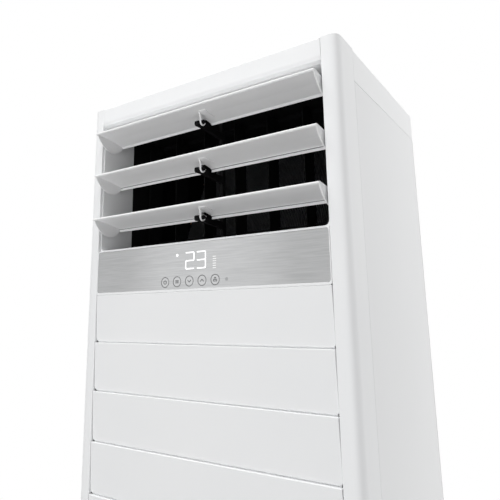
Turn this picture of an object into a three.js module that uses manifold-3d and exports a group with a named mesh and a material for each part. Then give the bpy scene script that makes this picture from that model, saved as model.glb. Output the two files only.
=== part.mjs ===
// Floor standing air conditioner: a tall cabinet with a motor-driven louver outlet at the top,
// a silver control fascia below it and a front of wide recessed planks.
// Millimetres. +Z is up, the front faces -Y, +X is the right side seen from the front.
// The origin is on the floor, under the middle of the cabinet.

import * as THREE from 'three';
import { mergeVertices } from 'three/addons/utils/BufferGeometryUtils.js';
import Module from 'manifold-3d';

const wasm = await Module();
wasm.setup();

// ---- Cabinet ----
const WIDTH = 590;
const DEPTH = 440;
const HEIGHT = 1850;
const FLOOR_GAP = 3; // shells hang this far clear of the floor
const SEAT = 0.4; // gap between pieces that touch
const RUNNING = 1; // clearance round a piece that moves
const SHEET = 1.2; // steel sheet
const WALL = 2.5; // moulded plastic wall
const FLANGE = 18; // folded edge of a sheet
const BEND = 2; // outside radius of a fold

// ---- Front trim ----
const PILLAR_FACE = 31;
const PILLAR_RETURN = 68; // how far a pillar wraps round the side
const PILLAR_RADIUS = 18;
const PILLAR_LIP = 7; // inner edge turned back beside the front panels
const HEADER_HEIGHT = 43;
const HEADER_ROLL = 12;
const SKIRT_HEIGHT = 61; // top cover
const KICK_HEIGHT = 116;
const GRILLE_GAP = 5; // shadow gap under the intake grille
const PAN_WALL = 46; // height of the base pan's sides

// ---- Air outlet ----
const OUTLET_HEIGHT = 278;
const OUTLET_CORNER = 10;
const OUTLET_SETBACK = 6;
const OUTLET_WALL = 2;
const OUTLET_DEPTH = 86;
const VANE_FRAME_DEPTH = 82;
const VANE_FRAME_WALL = 3.5;

// ---- Louvers ----
const LOUVER_COUNT = 3;
const LOUVER_PITCH = 94.5;
const LOUVER_FORE = 42; // pivot to front edge, along the blade
const LOUVER_AFT = 36; // pivot to rear edge
const LOUVER_RISE = 16.5; // pivot to the blade's upper face
const LOUVER_SKIN = 2.4;
const LOUVER_LIP = 5.5; // thick rolled front edge
const LOUVER_TILT = 9; // degrees, front edge up, as the louvers stand at rest
const LOUVER_SETBACK = 17; // pivot behind the front plane
const LOUVER_LIFT = 2; // middle pivot above the middle of the outlet
const LOUVER_CAP = 2.4; // half-moon end plate
const LOUVER_CAP_DROP = 28; // depth of the half-moon under the blade
const PIVOT_PIN = 4; // radius
const CLIP_THICK = 2.6; // centre clip under each blade
const CLIP_X = 2;
const CLIP_BORE = 5;
const ARM_WIDTH = 8;
const ARM_X = -10; // middle of the support arms
const NOTCH_DEPTH = 24;
const CRANK = 16; // louver pivot to link pin
const CRANK_ANGLE = -45; // degrees, below the line that runs straight back
const LINK_PIN = 2.5; // radius
const LINK_THICK = 3;
const LINK_WIDTH = 7;
const CRANK_THICK = 2.5;
const DRIVE_SQUARE = 5;
const STEPPER_RADIUS = 11;
const STEPPER_LENGTH = 14;

// ---- Vertical vanes ----
const VANE_COUNT = 7;
const VANE_PITCH = 81.5;
const VANE_FORE = 22;
const VANE_AFT = 21;
const VANE_THICK = 2;
const VANE_PIN = 3;
const VANE_PIVOT_SETBACK = 152; // behind the front plane
const VANE_CRANK = 15;

// ---- Control fascia ----
const FASCIA_HEIGHT = 90;
const FASCIA_LIP = 1.6; // white edge that shows round the silver plate
const FASCIA_PLATE = 2.2;
const FASCIA_CORNER = 4;
const FASCIA_DEPTH = 16;
const KEY_RADIUS = 9.6;
const KEY_PITCH = 29.3;
const KEY_FIRST_X = -74.4;
const KEY_DROP = 72; // key row below the fascia's top edge
const KEY_TRAVEL = 0.8;
const KEY_STEM = 7;
const DISPLAY_WIDTH = 120;
const DISPLAY_HEIGHT = 38;
const DISPLAY_DROP = 35; // middle of the display below the fascia's top edge

// ---- Plank front ----
const PANEL_PLANKS = 6;
const GRILLE_PLANKS = 8;
const PLANK_RAKE = 4.5; // how far a plank's face falls back towards its lower edge
const PLANK_NOSE = 5; // rounded lower edge
const LEDGE_DEPTH = 12;
const PANEL_GROOVE = 4;
const INTAKE_GROOVE = 15;
const INTAKE_SLOTS = 4; // in each row
const INTAKE_BAR = 9; // solid between slots
const PANEL_FLANGE = 14;
const HINGE_PIN = 3;
const HINGE_SETBACK = 13; // behind the front plane
const HINGE_RISE = 7.4; // above the grille's lower edge
const HINGE_HUB = 5;
const CATCH_WIDTH = 8;
const FILTER_THICK = 4;
const FILTER_RIM = 9;
const FILTER_BARS = 5;
const FILTER_MESH = 1;
const FILTER_RISE = 22; // above the grille's lower edge
const CATCH_HEIGHT = 7;
const RAIL_HEIGHT = 32;
const RAIL_WIDTH = 24;

// ---- Blower ----
const BLOWER_X = -12;
const BLOWER_Z = 520;
const WHEEL_RADIUS = 168;
const BLADE_COUNT = 34;
const BLADE_CHORD = 28;
const BLADE_THICK = 1.6;
const WHEEL_WIDTH = 146;
const HUB_RADIUS = 24;
const SHAFT_RADIUS = 6;
const SCROLL_FRONT_SETBACK = 132; // front plane to the scroll's front plate
const SCROLL_START = 184; // spiral radius at the tongue
const SCROLL_END = 250; // spiral radius where the outlet begins
const SCROLL_WALL = 2;
const INLET_RADIUS = 132;
const BELL = 14; // radius of the inlet's rolled mouth
const SCROLL_TOP = 300; // wheel centre to the deck
const MOTOR_RADIUS = 62;
const MOTOR_LENGTH = 84;
const MOTOR_GAP = 24; // scroll back to the motor's face
const MOTOR_GRIP = 42; // motor's face to the bracket's ring
const PARTITION_FOLD = 20;

// ---- Heat exchanger ----
const COIL_END_ROOM = 27.6; // between the liner and each end of the coil
const COIL_THICK = 38;
const COIL_SPAN = 318;
const COIL_LEAN = 26; // degrees back from upright
const COIL_PITCH = 26; // packs of fins drawn as one comb tooth
const COIL_TEETH_DEPTH = 3;
const COIL_FRONT_Y = -20;
const COIL_CLEAR = 14; // drain pan floor to the coil's lowest edge
const BEND_RADIUS = 11;
const BEND_TUBE = 4;
const PAN_DEPTH = 92;
const PAN_HEIGHT = 40;
const LINER = 12;

// ---- Pipes ----
const GAS_RADIUS = 8;
const LIQUID_RADIUS = 5;
const HOSE_RADIUS = 10;
const PIPE_END_Z = 320;
const PORT_WIDTH = 120;
const PORT_HEIGHT = 76;
const PORT_Z = 150;
const PORT_INSET = 105; // from the side of the cabinet to the pipes' port
const PIPE_INSET = 55;
const GAS_INSET = 40; // from the back
const PIPE_SPACING = 32;
const NUT_GRIP = 5; // a nut's corners beyond its pipe
const HOSE_END_Z = 250;
const HOSE_BACK_INSET = 44;
const HOSE_CLEAR = 16; // pan floor to the hose's mouth

// ---- Electrics and back ----
const BOX_WIDTH = 300;
const BOX_HEIGHT = 240;
const BOX_DEPTH = 88;
const BOX_DROP = 109; // below the fascia
const CARD_MARGIN = 14;
const VENT_COUNT = 6;
const VENT_PITCH = 12;
const VENT_WIDTH = 120;
const VENT_HEIGHT = 5;
const REAR_BEADS = 5;
const REAR_BEAD_FIRST = 330;
const REAR_BEAD_PITCH = 300;
const REAR_BEAD_INSET = 70;
const REAR_BEAD_WIDTH = 26;
const REAR_BEAD_DEPTH = 4;
const GLAND_INSET = 95;
const GLAND_Z = 150;
const GLAND_BORE = 11;
const BRACKET_WIDTH = 90;
const BRACKET_HEIGHT = 66;
const SLOT_WIDTH = 44;
const SLOT_HEIGHT = 10;

// ---- Worked out from the above ----
const HALF = WIDTH / 2;
const FRONT = -DEPTH / 2;
const BACK = DEPTH / 2;
const INNER = HALF - PILLAR_FACE; // pillars' inner edges
const SEAM = FRONT + PILLAR_RETURN;
const HEADER_BOTTOM = HEIGHT - HEADER_HEIGHT;
const OUTLET_BOTTOM = HEADER_BOTTOM - OUTLET_HEIGHT;
const FASCIA_BOTTOM = OUTLET_BOTTOM - FASCIA_HEIGHT;
const GRILLE_BOTTOM = KICK_HEIGHT + GRILLE_GAP;
const PLANK_PITCH = (FASCIA_BOTTOM - GRILLE_BOTTOM) / (PANEL_PLANKS + GRILLE_PLANKS);
const GRILLE_TOP = GRILLE_BOTTOM + GRILLE_PLANKS * PLANK_PITCH;
const SKIRT_BOTTOM = HEIGHT - SKIRT_HEIGHT;
const SHELL_TOP = SKIRT_BOTTOM - SEAT;
const DUCT_HALF = INNER - SEAT; // outside of the outlet's side walls
const DUCT_INNER = DUCT_HALF - OUTLET_WALL;
const LOUVER_HALF = DUCT_INNER - 2 * RUNNING;
const LOUVER_Y = FRONT + LOUVER_SETBACK;
const LOUVER_Z = (HEADER_BOTTOM + OUTLET_BOTTOM) / 2 + LOUVER_LIFT;
const OUTLET_FRONT = FRONT + OUTLET_SETBACK;
const OUTLET_BACK = OUTLET_FRONT + OUTLET_DEPTH;
const VANE_FRAME_FRONT = OUTLET_BACK + SEAT;
const VANE_FRAME_BACK = VANE_FRAME_FRONT + VANE_FRAME_DEPTH;
const VANE_Y = FRONT + VANE_PIVOT_SETBACK;
const PANEL_HALF = INNER - SEAT;
const LEDGE_BACK = FRONT + LEDGE_DEPTH;
const HINGE_X = PANEL_HALF - 24;
const HINGE_Y = FRONT + HINGE_SETBACK;
const HINGE_Z = GRILLE_BOTTOM + HINGE_RISE;
const EAR_HALF = 3;
const RAIL_EDGE = PANEL_HALF - PANEL_FLANGE - 2;
const SCROLL_FRONT = FRONT + SCROLL_FRONT_SETBACK;
const WHEEL_FRONT = SCROLL_FRONT + BELL + 3 * RUNNING;
const WHEEL_BACK = WHEEL_FRONT + WHEEL_WIDTH;
const SCROLL_BACK = WHEEL_BACK + 10 * RUNNING;
const DECK_Z = BLOWER_Z + SCROLL_TOP;
const SHEET_HALF = HALF - SHEET - SEAT; // inside of the side panels
const REAR_SKIN = BACK - SHEET;
const REAR_FLANGE = REAR_SKIN - SEAT;
const PARTITION_Y = SCROLL_FRONT - 4 * RUNNING;
const MOTOR_SHAFT = MOTOR_GAP + 10 * RUNNING + 40; // reaches into the wheel's hub
const BOX_HALF = BOX_WIDTH / 2;
const BOX_Z1 = FASCIA_BOTTOM - BOX_DROP;
const BOX_Z0 = BOX_Z1 - BOX_HEIGHT;
const BOX_BACK = PARTITION_Y - SHEET - SEAT;
const BOX_FRONT = BOX_BACK - BOX_DEPTH;
const LEAN = THREE.MathUtils.degToRad(COIL_LEAN);
const COIL_LENGTH = 2 * (DUCT_HALF - LINER - COIL_END_ROOM);
const COIL_FOOT_Z = OUTLET_BOTTOM - 36; // lower front edge of the coil
const PAN_FLOOR = COIL_FOOT_Z - COIL_THICK * Math.sin(LEAN) - COIL_CLEAR;
const PAN_BOTTOM = PAN_FLOOR - WALL;
const PAN_FRONT = COIL_FRONT_Y - 22;
const PAN_HALF = COIL_LENGTH / 2 + 20;
const PIPE_X = HALF - PIPE_INSET;
const GAS_Y = BACK - GAS_INSET;
const LIQUID_Y = GAS_Y - PIPE_SPACING;
const HOSE_X = -PIPE_X;
const HOSE_Y = BACK - HOSE_BACK_INSET;
const HOSE_START_X = -COIL_LENGTH / 2 + 19;
const HOSE_START_Y = COIL_FRONT_Y + 40;
const PORT_X = HALF - PORT_INSET;
const GLAND_X = -HALF + GLAND_INSET;
const REAR_BEAD_HALF = HALF - REAR_BEAD_INSET;
const STEPPER_SHAFT = 1; // shaft collar in front of the can
const MOTOR_FACE = DUCT_HALF + RUNNING + CRANK_THICK + LINK_THICK + 5 * SEAT + STEPPER_SHAFT;
const rad = THREE.MathUtils.degToRad;

// ---- Solids ----

// A closed geometry as a solid that can be joined and cut.
function solid(geometry) {
  const bare = geometry.clone();
  bare.deleteAttribute('normal');
  bare.deleteAttribute('uv');
  const merged = mergeVertices(bare, 1e-4);
  const corners = merged.index.array;
  const kept = [];
  for (let i = 0; i < corners.length; i += 3) {
    const [a, b, c] = corners.slice(i, i + 3);
    if (a !== b && b !== c && c !== a) kept.push(a, b, c);
  }
  return new wasm.Manifold(new wasm.Mesh({
    numProp: 3,
    vertProperties: new Float32Array(merged.attributes.position.array),
    triVerts: new Uint32Array(kept),
  }));
}

// A closed outline through corners [a, b, radius]; a radius rounds its corner.
function loop(corners) {
  const shape = new THREE.Shape();
  corners.forEach(([a, b, radius = 0], i) => {
    const here = new THREE.Vector2(a, b);
    const before = new THREE.Vector2(...corners.at(i - 1).slice(0, 2)).sub(here);
    const after = new THREE.Vector2(...corners[(i + 1) % corners.length].slice(0, 2)).sub(here);
    const half = Math.acos(before.dot(after) / (before.length() * after.length())) / 2;
    const reach = radius / Math.tan(half);
    const start = here.clone().addScaledVector(before.normalize(), reach);
    const end = here.clone().addScaledVector(after.normalize(), reach);
    if (i === 0) shape.moveTo(start.x, start.y);
    else shape.lineTo(start.x, start.y);
    if (radius > 0) shape.quadraticCurveTo(a, b, end.x, end.y);
  });
  shape.closePath();
  return shape;
}

function rectangle(a0, a1, b0, b1, radius = 0) {
  return loop([[a0, b0, radius], [a1, b0, radius], [a1, b1, radius], [a0, b1, radius]]);
}

function circle(a, b, radius) {
  const shape = new THREE.Shape();
  shape.absarc(a, b, radius, 0, 2 * Math.PI);
  return shape;
}

function swept(shape, length, segments) {
  const options = { depth: length, bevelEnabled: false, curveSegments: segments };
  return new THREE.ExtrudeGeometry(shape, options);
}

const X_AXIS = new THREE.Vector3(1, 0, 0);
const Y_AXIS = new THREE.Vector3(0, 1, 0);
const Z_AXIS = new THREE.Vector3(0, 0, 1);

// A (y, z) outline swept along X.
function alongX(shape, x0, x1, segments = 4) {
  const turn = new THREE.Matrix4().makeBasis(Y_AXIS, Z_AXIS, X_AXIS);
  return solid(swept(shape, x1 - x0, segments).applyMatrix4(turn).translate(x0, 0, 0));
}

// An (x, z) outline swept along Y.
function alongY(shape, y0, y1, segments = 4) {
  const turn = new THREE.Matrix4().makeBasis(X_AXIS, Z_AXIS, Y_AXIS.clone().negate());
  return solid(swept(shape, y1 - y0, segments).applyMatrix4(turn).translate(0, y1, 0));
}

// An (x, y) outline swept along Z.
function alongZ(shape, z0, z1, segments = 4) {
  return solid(swept(shape, z1 - z0, segments).translate(0, 0, z0));
}

function block(x0, x1, y0, y1, z0, z1) {
  const box = new THREE.BoxGeometry(x1 - x0, y1 - y0, z1 - z0);
  return solid(box.translate((x0 + x1) / 2, (y0 + y1) / 2, (z0 + z1) / 2));
}

// A round bar between two points.
function rod(from, to, radius, sides = 16) {
  const start = new THREE.Vector3(...from);
  const along = new THREE.Vector3(...to).sub(start);
  const bar = new THREE.CylinderGeometry(radius, radius, along.length(), sides);
  bar.translate(0, along.length() / 2, 0);
  bar.applyQuaternion(new THREE.Quaternion().setFromUnitVectors(Y_AXIS, along.clone().normalize()));
  return solid(bar.translate(...from));
}

// A profile of [radius, height] points turned about Z; it closes on itself or on the axis.
function turned(profile, sides = 32) {
  const points = profile.map(([radius, height]) => new THREE.Vector2(radius, height));
  if (THREE.ShapeUtils.area(points) < 0) points.reverse();
  const lathe = new THREE.LatheGeometry(points, sides);
  return solid(lathe.rotateX(Math.PI / 2));
}

// A round bar swept along a smooth curve through points.
function bentRod(points, radius, sides = 8, steps = 40) {
  const curve = new THREE.CatmullRomCurve3(points.map((p) => new THREE.Vector3(...p)), false, 'centripetal');
  const ring = new THREE.Shape();
  ring.absarc(0, 0, radius, 0, 2 * Math.PI);
  const options = { steps, extrudePath: curve, curveSegments: sides / 2 };
  return solid(new THREE.ExtrudeGeometry(ring, options));
}

function geometryOf(shape) {
  const { vertProperties, triVerts } = shape.getMesh();
  const geometry = new THREE.BufferGeometry();
  geometry.setAttribute('position', new THREE.BufferAttribute(vertProperties, 3));
  return geometry.setIndex(new THREE.BufferAttribute(triVerts, 1));
}

// A solid turned about an axis by degrees, then moved.
function moved(shape, axis, degrees, shift = [0, 0, 0]) {
  const turn = new THREE.Matrix4().makeRotationAxis(axis, rad(degrees));
  return solid(geometryOf(shape).applyMatrix4(turn).translate(...shift));
}

function joined(solids) {
  return solids.reduce((whole, piece) => whole.add(piece));
}

function mirrored(side, corners) {
  return corners.map(([x, y, radius]) => [side * x, y, radius]);
}

// ---- Finishes ----
const finish = (color, roughness, metalness = 0) => (
  new THREE.MeshStandardMaterial({ color, roughness, metalness })
);
const whiteShell = () => finish(0xf0f1f1, 0.4);
const coatedSteel = () => finish(0xe6e8e8, 0.45, 0.05);
const zincSteel = () => finish(0xb4b8ba, 0.45, 0.85);
const blackPlastic = () => finish(0x141415, 0.6);
const blackFoam = () => finish(0x1b1b1c, 0.95);
const brushedSilver = () => finish(0xb9bbbc, 0.35, 0.7);
const greyPlastic = () => finish(0x5b5e61, 0.55);
const copper = () => finish(0xb87045, 0.35, 0.95);
const finStock = () => finish(0xc3c8cb, 0.4, 0.8);
const rubber = () => finish(0x222222, 0.85);
const board = () => finish(0x1f6b45, 0.5);

const cabinet = new THREE.Group();

function addPiece(name, shape, material, parent = cabinet) {
  const flat = geometryOf(shape).toNonIndexed();
  flat.computeVertexNormals();
  const mesh = new THREE.Mesh(flat, material);
  mesh.name = name;
  parent.add(mesh);
  return mesh;
}

// ---- Base and casing ----

function basePan() {
  const half = HALF - WALL - SEAT;
  const front = FRONT + PILLAR_LIP + SEAT;
  const back = REAR_FLANGE - SHEET - SEAT;
  const corner = PILLAR_RADIUS - 4;
  const outline = (inset) => loop([
    [-half + inset, front + inset, corner], [half - inset, front + inset, corner],
    [half - inset, back - inset, 0], [-half + inset, back - inset, 0],
  ]);
  const tray = alongZ(outline(0), 0, PAN_WALL, 3);
  const inside = alongZ(outline(SHEET), 2 * SHEET, PAN_WALL + 1, 3);
  const stiffener = (y) => block(-half + 1, half - 1, y, y + 30, SHEET, 14);
  return joined([tray.subtract(inside), stiffener(-80), stiffener(70)]);
}

function kickPlate() {
  const half = PANEL_HALF;
  const top = KICK_HEIGHT;
  const face = loop([
    [FRONT, FLOOR_GAP, 0], [FRONT + WALL, FLOOR_GAP, 0], [FRONT + WALL, top - WALL, 0],
    [FRONT + 26, top - WALL, 0], [FRONT + 26, top, 0], [FRONT, top, 4],
  ]);
  return joined([alongX(face, -half, half), hingeEar(-HINGE_X), hingeEar(HINGE_X)]);
}

// An ear on the kick plate that the intake grille turns on: it comes up from behind the pin.
function hingeEar(x) {
  const round = HINGE_HUB - 0.4;
  const ear = loop([
    [HINGE_Y + 0.5, KICK_HEIGHT - 1], [HINGE_Y + 9, KICK_HEIGHT - 1], [HINGE_Y + 8, HINGE_Z + HINGE_HUB, 4],
    [HINGE_Y - HINGE_HUB, HINGE_Z + HINGE_HUB, round], [HINGE_Y - HINGE_HUB, HINGE_Z - HINGE_HUB, round],
    [HINGE_Y + 0.5, HINGE_Z - HINGE_HUB],
  ]);
  ear.holes.push(circle(HINGE_Y, HINGE_Z, HINGE_PIN + RUNNING / 2));
  return alongX(ear, x - EAR_HALF, x + EAR_HALF);
}

function pillar(side) {
  const seam = SEAM - SEAT;
  const section = loop(mirrored(side, [
    [INNER, FRONT, 1], [HALF, FRONT, PILLAR_RADIUS], [HALF, seam, 0], [HALF - WALL, seam, 0],
    [HALF - WALL, FRONT + WALL, PILLAR_RADIUS - WALL], [INNER + WALL, FRONT + WALL, 0],
    [INNER + WALL, FRONT + PILLAR_LIP, 0], [INNER, FRONT + PILLAR_LIP, 0],
  ]));
  const lid = loop(mirrored(side, [
    [INNER, FRONT, 1], [HALF, FRONT, PILLAR_RADIUS], [HALF, seam, 0], [INNER, seam, 0],
  ]));
  const post = alongZ(section, FLOOR_GAP, HEIGHT - WALL / 2, 5);
  return post.add(alongZ(lid, HEIGHT - WALL, HEIGHT, 5));
}

function sidePanel(side) {
  const inner = HALF - FLANGE;
  const section = loop(mirrored(side, [
    [HALF, SEAM, BEND], [HALF, REAR_FLANGE, BEND], [inner, REAR_FLANGE, 0],
    [inner, REAR_FLANGE - SHEET, 0], [HALF - SHEET, REAR_FLANGE - SHEET, 0],
    [HALF - SHEET, SEAM + SHEET, 0], [inner, SEAM + SHEET, 0], [inner, SEAM, 0],
  ]));
  const notch = block(
    Math.min(side * (inner - 1), side * (HALF - SHEET)), Math.max(side * (inner - 1), side * (HALF - SHEET)),
    SEAM - 1, SEAM + SHEET, 0, PAN_WALL + SEAT,
  );
  return alongZ(section, FLOOR_GAP, SHELL_TOP, 2).subtract(notch);
}

// A shallow dish pressed inwards from a sheet, for stiffness.
function pressedBead(sheet, x0, x1, z0, z1, depth) {
  const hole = block(x0, x1, REAR_SKIN - 1, BACK + 1, z0, z1);
  const dish = block(x0 - SHEET, x1 + SHEET, REAR_SKIN - depth, BACK - 0.4, z0 - SHEET, z1 + SHEET);
  const hollow = block(x0, x1, REAR_SKIN - depth + SHEET, BACK + 1, z0, z1);
  return sheet.subtract(hole).add(dish.subtract(hollow));
}

function rearPanel() {
  const edge = rectangle(-HALF, HALF, FLOOR_GAP, SHELL_TOP, 3);
  const port = rectangle(
    PORT_X - PORT_WIDTH / 2, PORT_X + PORT_WIDTH / 2, PORT_Z - PORT_HEIGHT / 2, PORT_Z + PORT_HEIGHT / 2, 30,
  );
  edge.holes.push(port);
  edge.holes.push(circle(GLAND_X, GLAND_Z, GLAND_BORE));
  let sheet = alongY(edge, REAR_SKIN, BACK, 8);
  for (let i = 0; i < REAR_BEADS; i += 1) {
    const z = REAR_BEAD_FIRST + i * REAR_BEAD_PITCH;
    sheet = pressedBead(sheet, -REAR_BEAD_HALF, REAR_BEAD_HALF, z, z + REAR_BEAD_WIDTH, REAR_BEAD_DEPTH);
  }
  return sheet;
}

function topCover() {
  const lid = loop([
    [-HALF, SKIRT_BOTTOM, 0], [-HALF, HEIGHT, 5], [HALF, HEIGHT, 5], [HALF, SKIRT_BOTTOM, 0],
    [HALF - WALL, SKIRT_BOTTOM, 0], [HALF - WALL, HEIGHT - WALL, 3],
    [-HALF + WALL, HEIGHT - WALL, 3], [-HALF + WALL, SKIRT_BOTTOM, 0],
  ]);
  const hood = alongY(lid, SEAM, BACK, 3);
  const rear = block(-HALF + 1, HALF - 1, BACK - WALL, BACK, SKIRT_BOTTOM, HEIGHT - WALL / 2);
  return hood.add(rear);
}

function headerPanel() {
  const lip = HEADER_BOTTOM + SEAT;
  const back = SEAM - SEAT;
  const section = loop([
    [back, HEIGHT, 0], [FRONT, HEIGHT, 3], [FRONT, lip, HEADER_ROLL], [FRONT + 30, lip, 0],
    [FRONT + 30, lip + WALL, 0], [FRONT + WALL, lip + WALL, HEADER_ROLL - WALL],
    [FRONT + WALL, HEIGHT - WALL, 1], [back, HEIGHT - WALL, 0],
  ]);
  return alongX(section, -PANEL_HALF, PANEL_HALF, 5);
}

// ---- Outlet ----

function pivotHeight(index) {
  return LOUVER_Z + ((LOUVER_COUNT - 1) / 2 - index) * LOUVER_PITCH;
}

// A four-sided duct with rounded inner corners, tight at the top where the upper louver swings by.
function ductRing(wallX, wallZ, corner, y0, y1) {
  const ring = rectangle(-DUCT_HALF, DUCT_HALF, OUTLET_BOTTOM, HEADER_BOTTOM, 2);
  const half = DUCT_HALF - wallX;
  const low = OUTLET_BOTTOM + wallZ;
  const high = HEADER_BOTTOM - wallZ;
  ring.holes.push(loop([[-half, low, corner], [half, low, corner], [half, high, 4], [-half, high, 4]]));
  return alongY(ring, y0, y1);
}

function outletFrame() {
  let frame = ductRing(OUTLET_WALL, WALL, OUTLET_CORNER, OUTLET_FRONT, OUTLET_BACK);
  for (let i = 0; i < LOUVER_COUNT; i += 1) {
    const z = pivotHeight(i);
    const bore = PIVOT_PIN + RUNNING / 2;
    frame = frame.subtract(rod([-HALF, LOUVER_Y, z], [HALF, LOUVER_Y, z], bore, 12));
  }
  return frame;
}

function vaneX(index) {
  return (index - (VANE_COUNT - 1) / 2) * VANE_PITCH;
}

function vaneFrame() {
  let frame = ductRing(VANE_FRAME_WALL, VANE_FRAME_WALL, 6, VANE_FRAME_FRONT, VANE_FRAME_BACK);
  for (let i = 0; i < VANE_COUNT; i += 1) {
    const x = vaneX(i);
    const bore = VANE_PIN + RUNNING / 2;
    frame = frame.subtract(rod([x, VANE_Y, OUTLET_BOTTOM - 2], [x, VANE_Y, HEADER_BOTTOM + 2], bore, 8));
  }
  return frame;
}

// The post behind the louvers, with one arm and pivot pin to each blade's centre clip.
function louverSupport() {
  const bottom = OUTLET_BOTTOM + VANE_FRAME_WALL + SEAT;
  const top = HEADER_BOTTOM - VANE_FRAME_WALL - SEAT;
  const x0 = ARM_X - ARM_WIDTH / 2;
  const x1 = ARM_X + ARM_WIDTH / 2;
  const post = block(x0, x1, VANE_FRAME_FRONT + 2, VANE_FRAME_FRONT + 12, bottom, top);
  const pieces = [post];
  for (let i = 0; i < LOUVER_COUNT; i += 1) {
    const z = pivotHeight(i);
    const arm = loop([
      [LOUVER_Y - 5, z - 5, 4], [LOUVER_Y + 12, z - 5, 0], [VANE_FRAME_FRONT + 6, z - 12, 0],
      [VANE_FRAME_FRONT + 6, z + 3, 0], [LOUVER_Y + 12, z + 5, 0], [LOUVER_Y - 5, z + 5, 4],
    ]);
    pieces.push(alongX(arm, x0, x1));
    const pinEnd = CLIP_X + CLIP_THICK / 2 + 3;
    pieces.push(rod([x1 - 1, LOUVER_Y, z], [pinEnd, LOUVER_Y, z], PIVOT_PIN, 12));
  }
  return joined(pieces);
}

// ---- Louvers, drawn about their own pivot axis, blade level and front edge towards -Y ----

function bladeSection() {
  const top = LOUVER_RISE;
  const under = LOUVER_RISE - LOUVER_SKIN;
  const lip = LOUVER_RISE - LOUVER_LIP;
  return loop([
    [-LOUVER_FORE, top - 1.5, 1], [-LOUVER_FORE + 4, top + 0.2, 1], [0, top + 1.6, 30],
    [LOUVER_AFT, top - 0.6, 0.5], [LOUVER_AFT, under - 1.6, 0.5], [LOUVER_AFT - 4, under - 1.6, 0],
    [LOUVER_AFT - 5, under - 0.4, 0], [0, under + 1.2, 30],
    [-LOUVER_FORE + 7, under, 1], [-LOUVER_FORE + 3.5, lip, 1.5], [-LOUVER_FORE, lip + 1.5, 1.5],
  ]);
}

// The half-moon plate that closes a blade's end and carries its pivot pin.
function halfMoon(x0, x1) {
  const top = LOUVER_RISE - 0.5;
  const low = LOUVER_RISE - LOUVER_CAP_DROP;
  const moon = new THREE.Shape();
  moon.moveTo(-LOUVER_FORE + 2, top - 1);
  moon.bezierCurveTo(-LOUVER_FORE + 12, low + 12, -LOUVER_FORE + 26, low, 4, low);
  moon.bezierCurveTo(24, low, LOUVER_AFT - 4, low + 12, LOUVER_AFT - 1, top - 2);
  moon.lineTo(LOUVER_AFT - 2, top);
  moon.lineTo(-LOUVER_FORE + 6, top);
  moon.closePath();
  return alongX(moon, x0, x1, 4);
}

// The thin hook under the middle of a blade that snaps round the support pin.
function centreClip() {
  const bore = CLIP_BORE;
  const outer = CLIP_BORE + 2.4;
  const top = LOUVER_RISE - LOUVER_SKIN + 1.4;
  const hook = new THREE.Shape();
  hook.moveTo(-outer - 7, top);
  hook.quadraticCurveTo(-outer, 8, -outer, 0);
  hook.absarc(0, 0, outer, Math.PI, Math.PI * 2.12, false);
  hook.absarc(0, 0, bore, Math.PI * 2.12, Math.PI, true);
  hook.quadraticCurveTo(-bore, 8, -bore - 3, top);
  hook.closePath();
  return alongX(hook, CLIP_X - CLIP_THICK / 2, CLIP_X + CLIP_THICK / 2, 5);
}

function louver(isDriven) {
  const inset = LOUVER_HALF - LOUVER_CAP;
  const blade = alongX(bladeSection(), -LOUVER_HALF, LOUVER_HALF, 3);
  const notch = block(
    ARM_X - ARM_WIDTH / 2 - 3, ARM_X + ARM_WIDTH / 2 + 3,
    LOUVER_AFT - NOTCH_DEPTH, LOUVER_AFT + 2, LOUVER_RISE - 12, LOUVER_RISE + 4,
  );
  const pinReach = DUCT_HALF + RUNNING;
  const crankEnd = pinReach + CRANK_THICK;
  const pieces = [
    blade.subtract(notch),
    halfMoon(-LOUVER_HALF, -inset),
    halfMoon(inset, LOUVER_HALF),
    centreClip(),
    rod([-inset - 1, 0, 0], [-pinReach, 0, 0], PIVOT_PIN, 10),
    rod([inset + 1, 0, 0], [pinReach + 1, 0, 0], PIVOT_PIN, 10),
    crankArm(pinReach, crankEnd),
  ];
  if (isDriven) {
    const s = DRIVE_SQUARE / 2;
    pieces.push(block(crankEnd - 1, MOTOR_FACE + 1.5, -s, s, -s, s));
  }
  return joined(pieces);
}

// The crank outside the duct's right wall, with the pin that the link hangs on.
function crankArm(x0, x1) {
  const angle = rad(CRANK_ANGLE + LOUVER_TILT);
  const hub = PIVOT_PIN + 1;
  const arm = loop([
    [-hub, -hub, hub - 0.4], [CRANK + 4, -4, 3.6], [CRANK + 4, 4, 3.6], [-hub, hub, hub - 0.4],
  ]);
  const pin = rod([x1 - 1, CRANK, 0], [x1 + LINK_THICK + 3 * SEAT, CRANK, 0], LINK_PIN, 8);
  return moved(alongX(arm, x0, x1, 3).add(pin), X_AXIS, THREE.MathUtils.radToDeg(angle));
}

// The rod that makes the louvers turn together; it stays upright as they turn.
function louverLink() {
  const x0 = DUCT_HALF + RUNNING + CRANK_THICK + SEAT;
  const angle = rad(CRANK_ANGLE);
  const y = LOUVER_Y + CRANK * Math.cos(angle);
  const drop = CRANK * Math.sin(angle);
  const top = pivotHeight(0) + drop;
  const bottom = pivotHeight(LOUVER_COUNT - 1) + drop;
  const half = LINK_WIDTH / 2;
  const outline = rectangle(y - half, y + half, bottom - 5, top + 5, half - 0.1);
  for (let i = 0; i < LOUVER_COUNT; i += 1) {
    outline.holes.push(circle(y, pivotHeight(i) + drop, LINK_PIN + RUNNING / 2));
  }
  return alongX(outline, x0, x0 + LINK_THICK);
}

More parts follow.
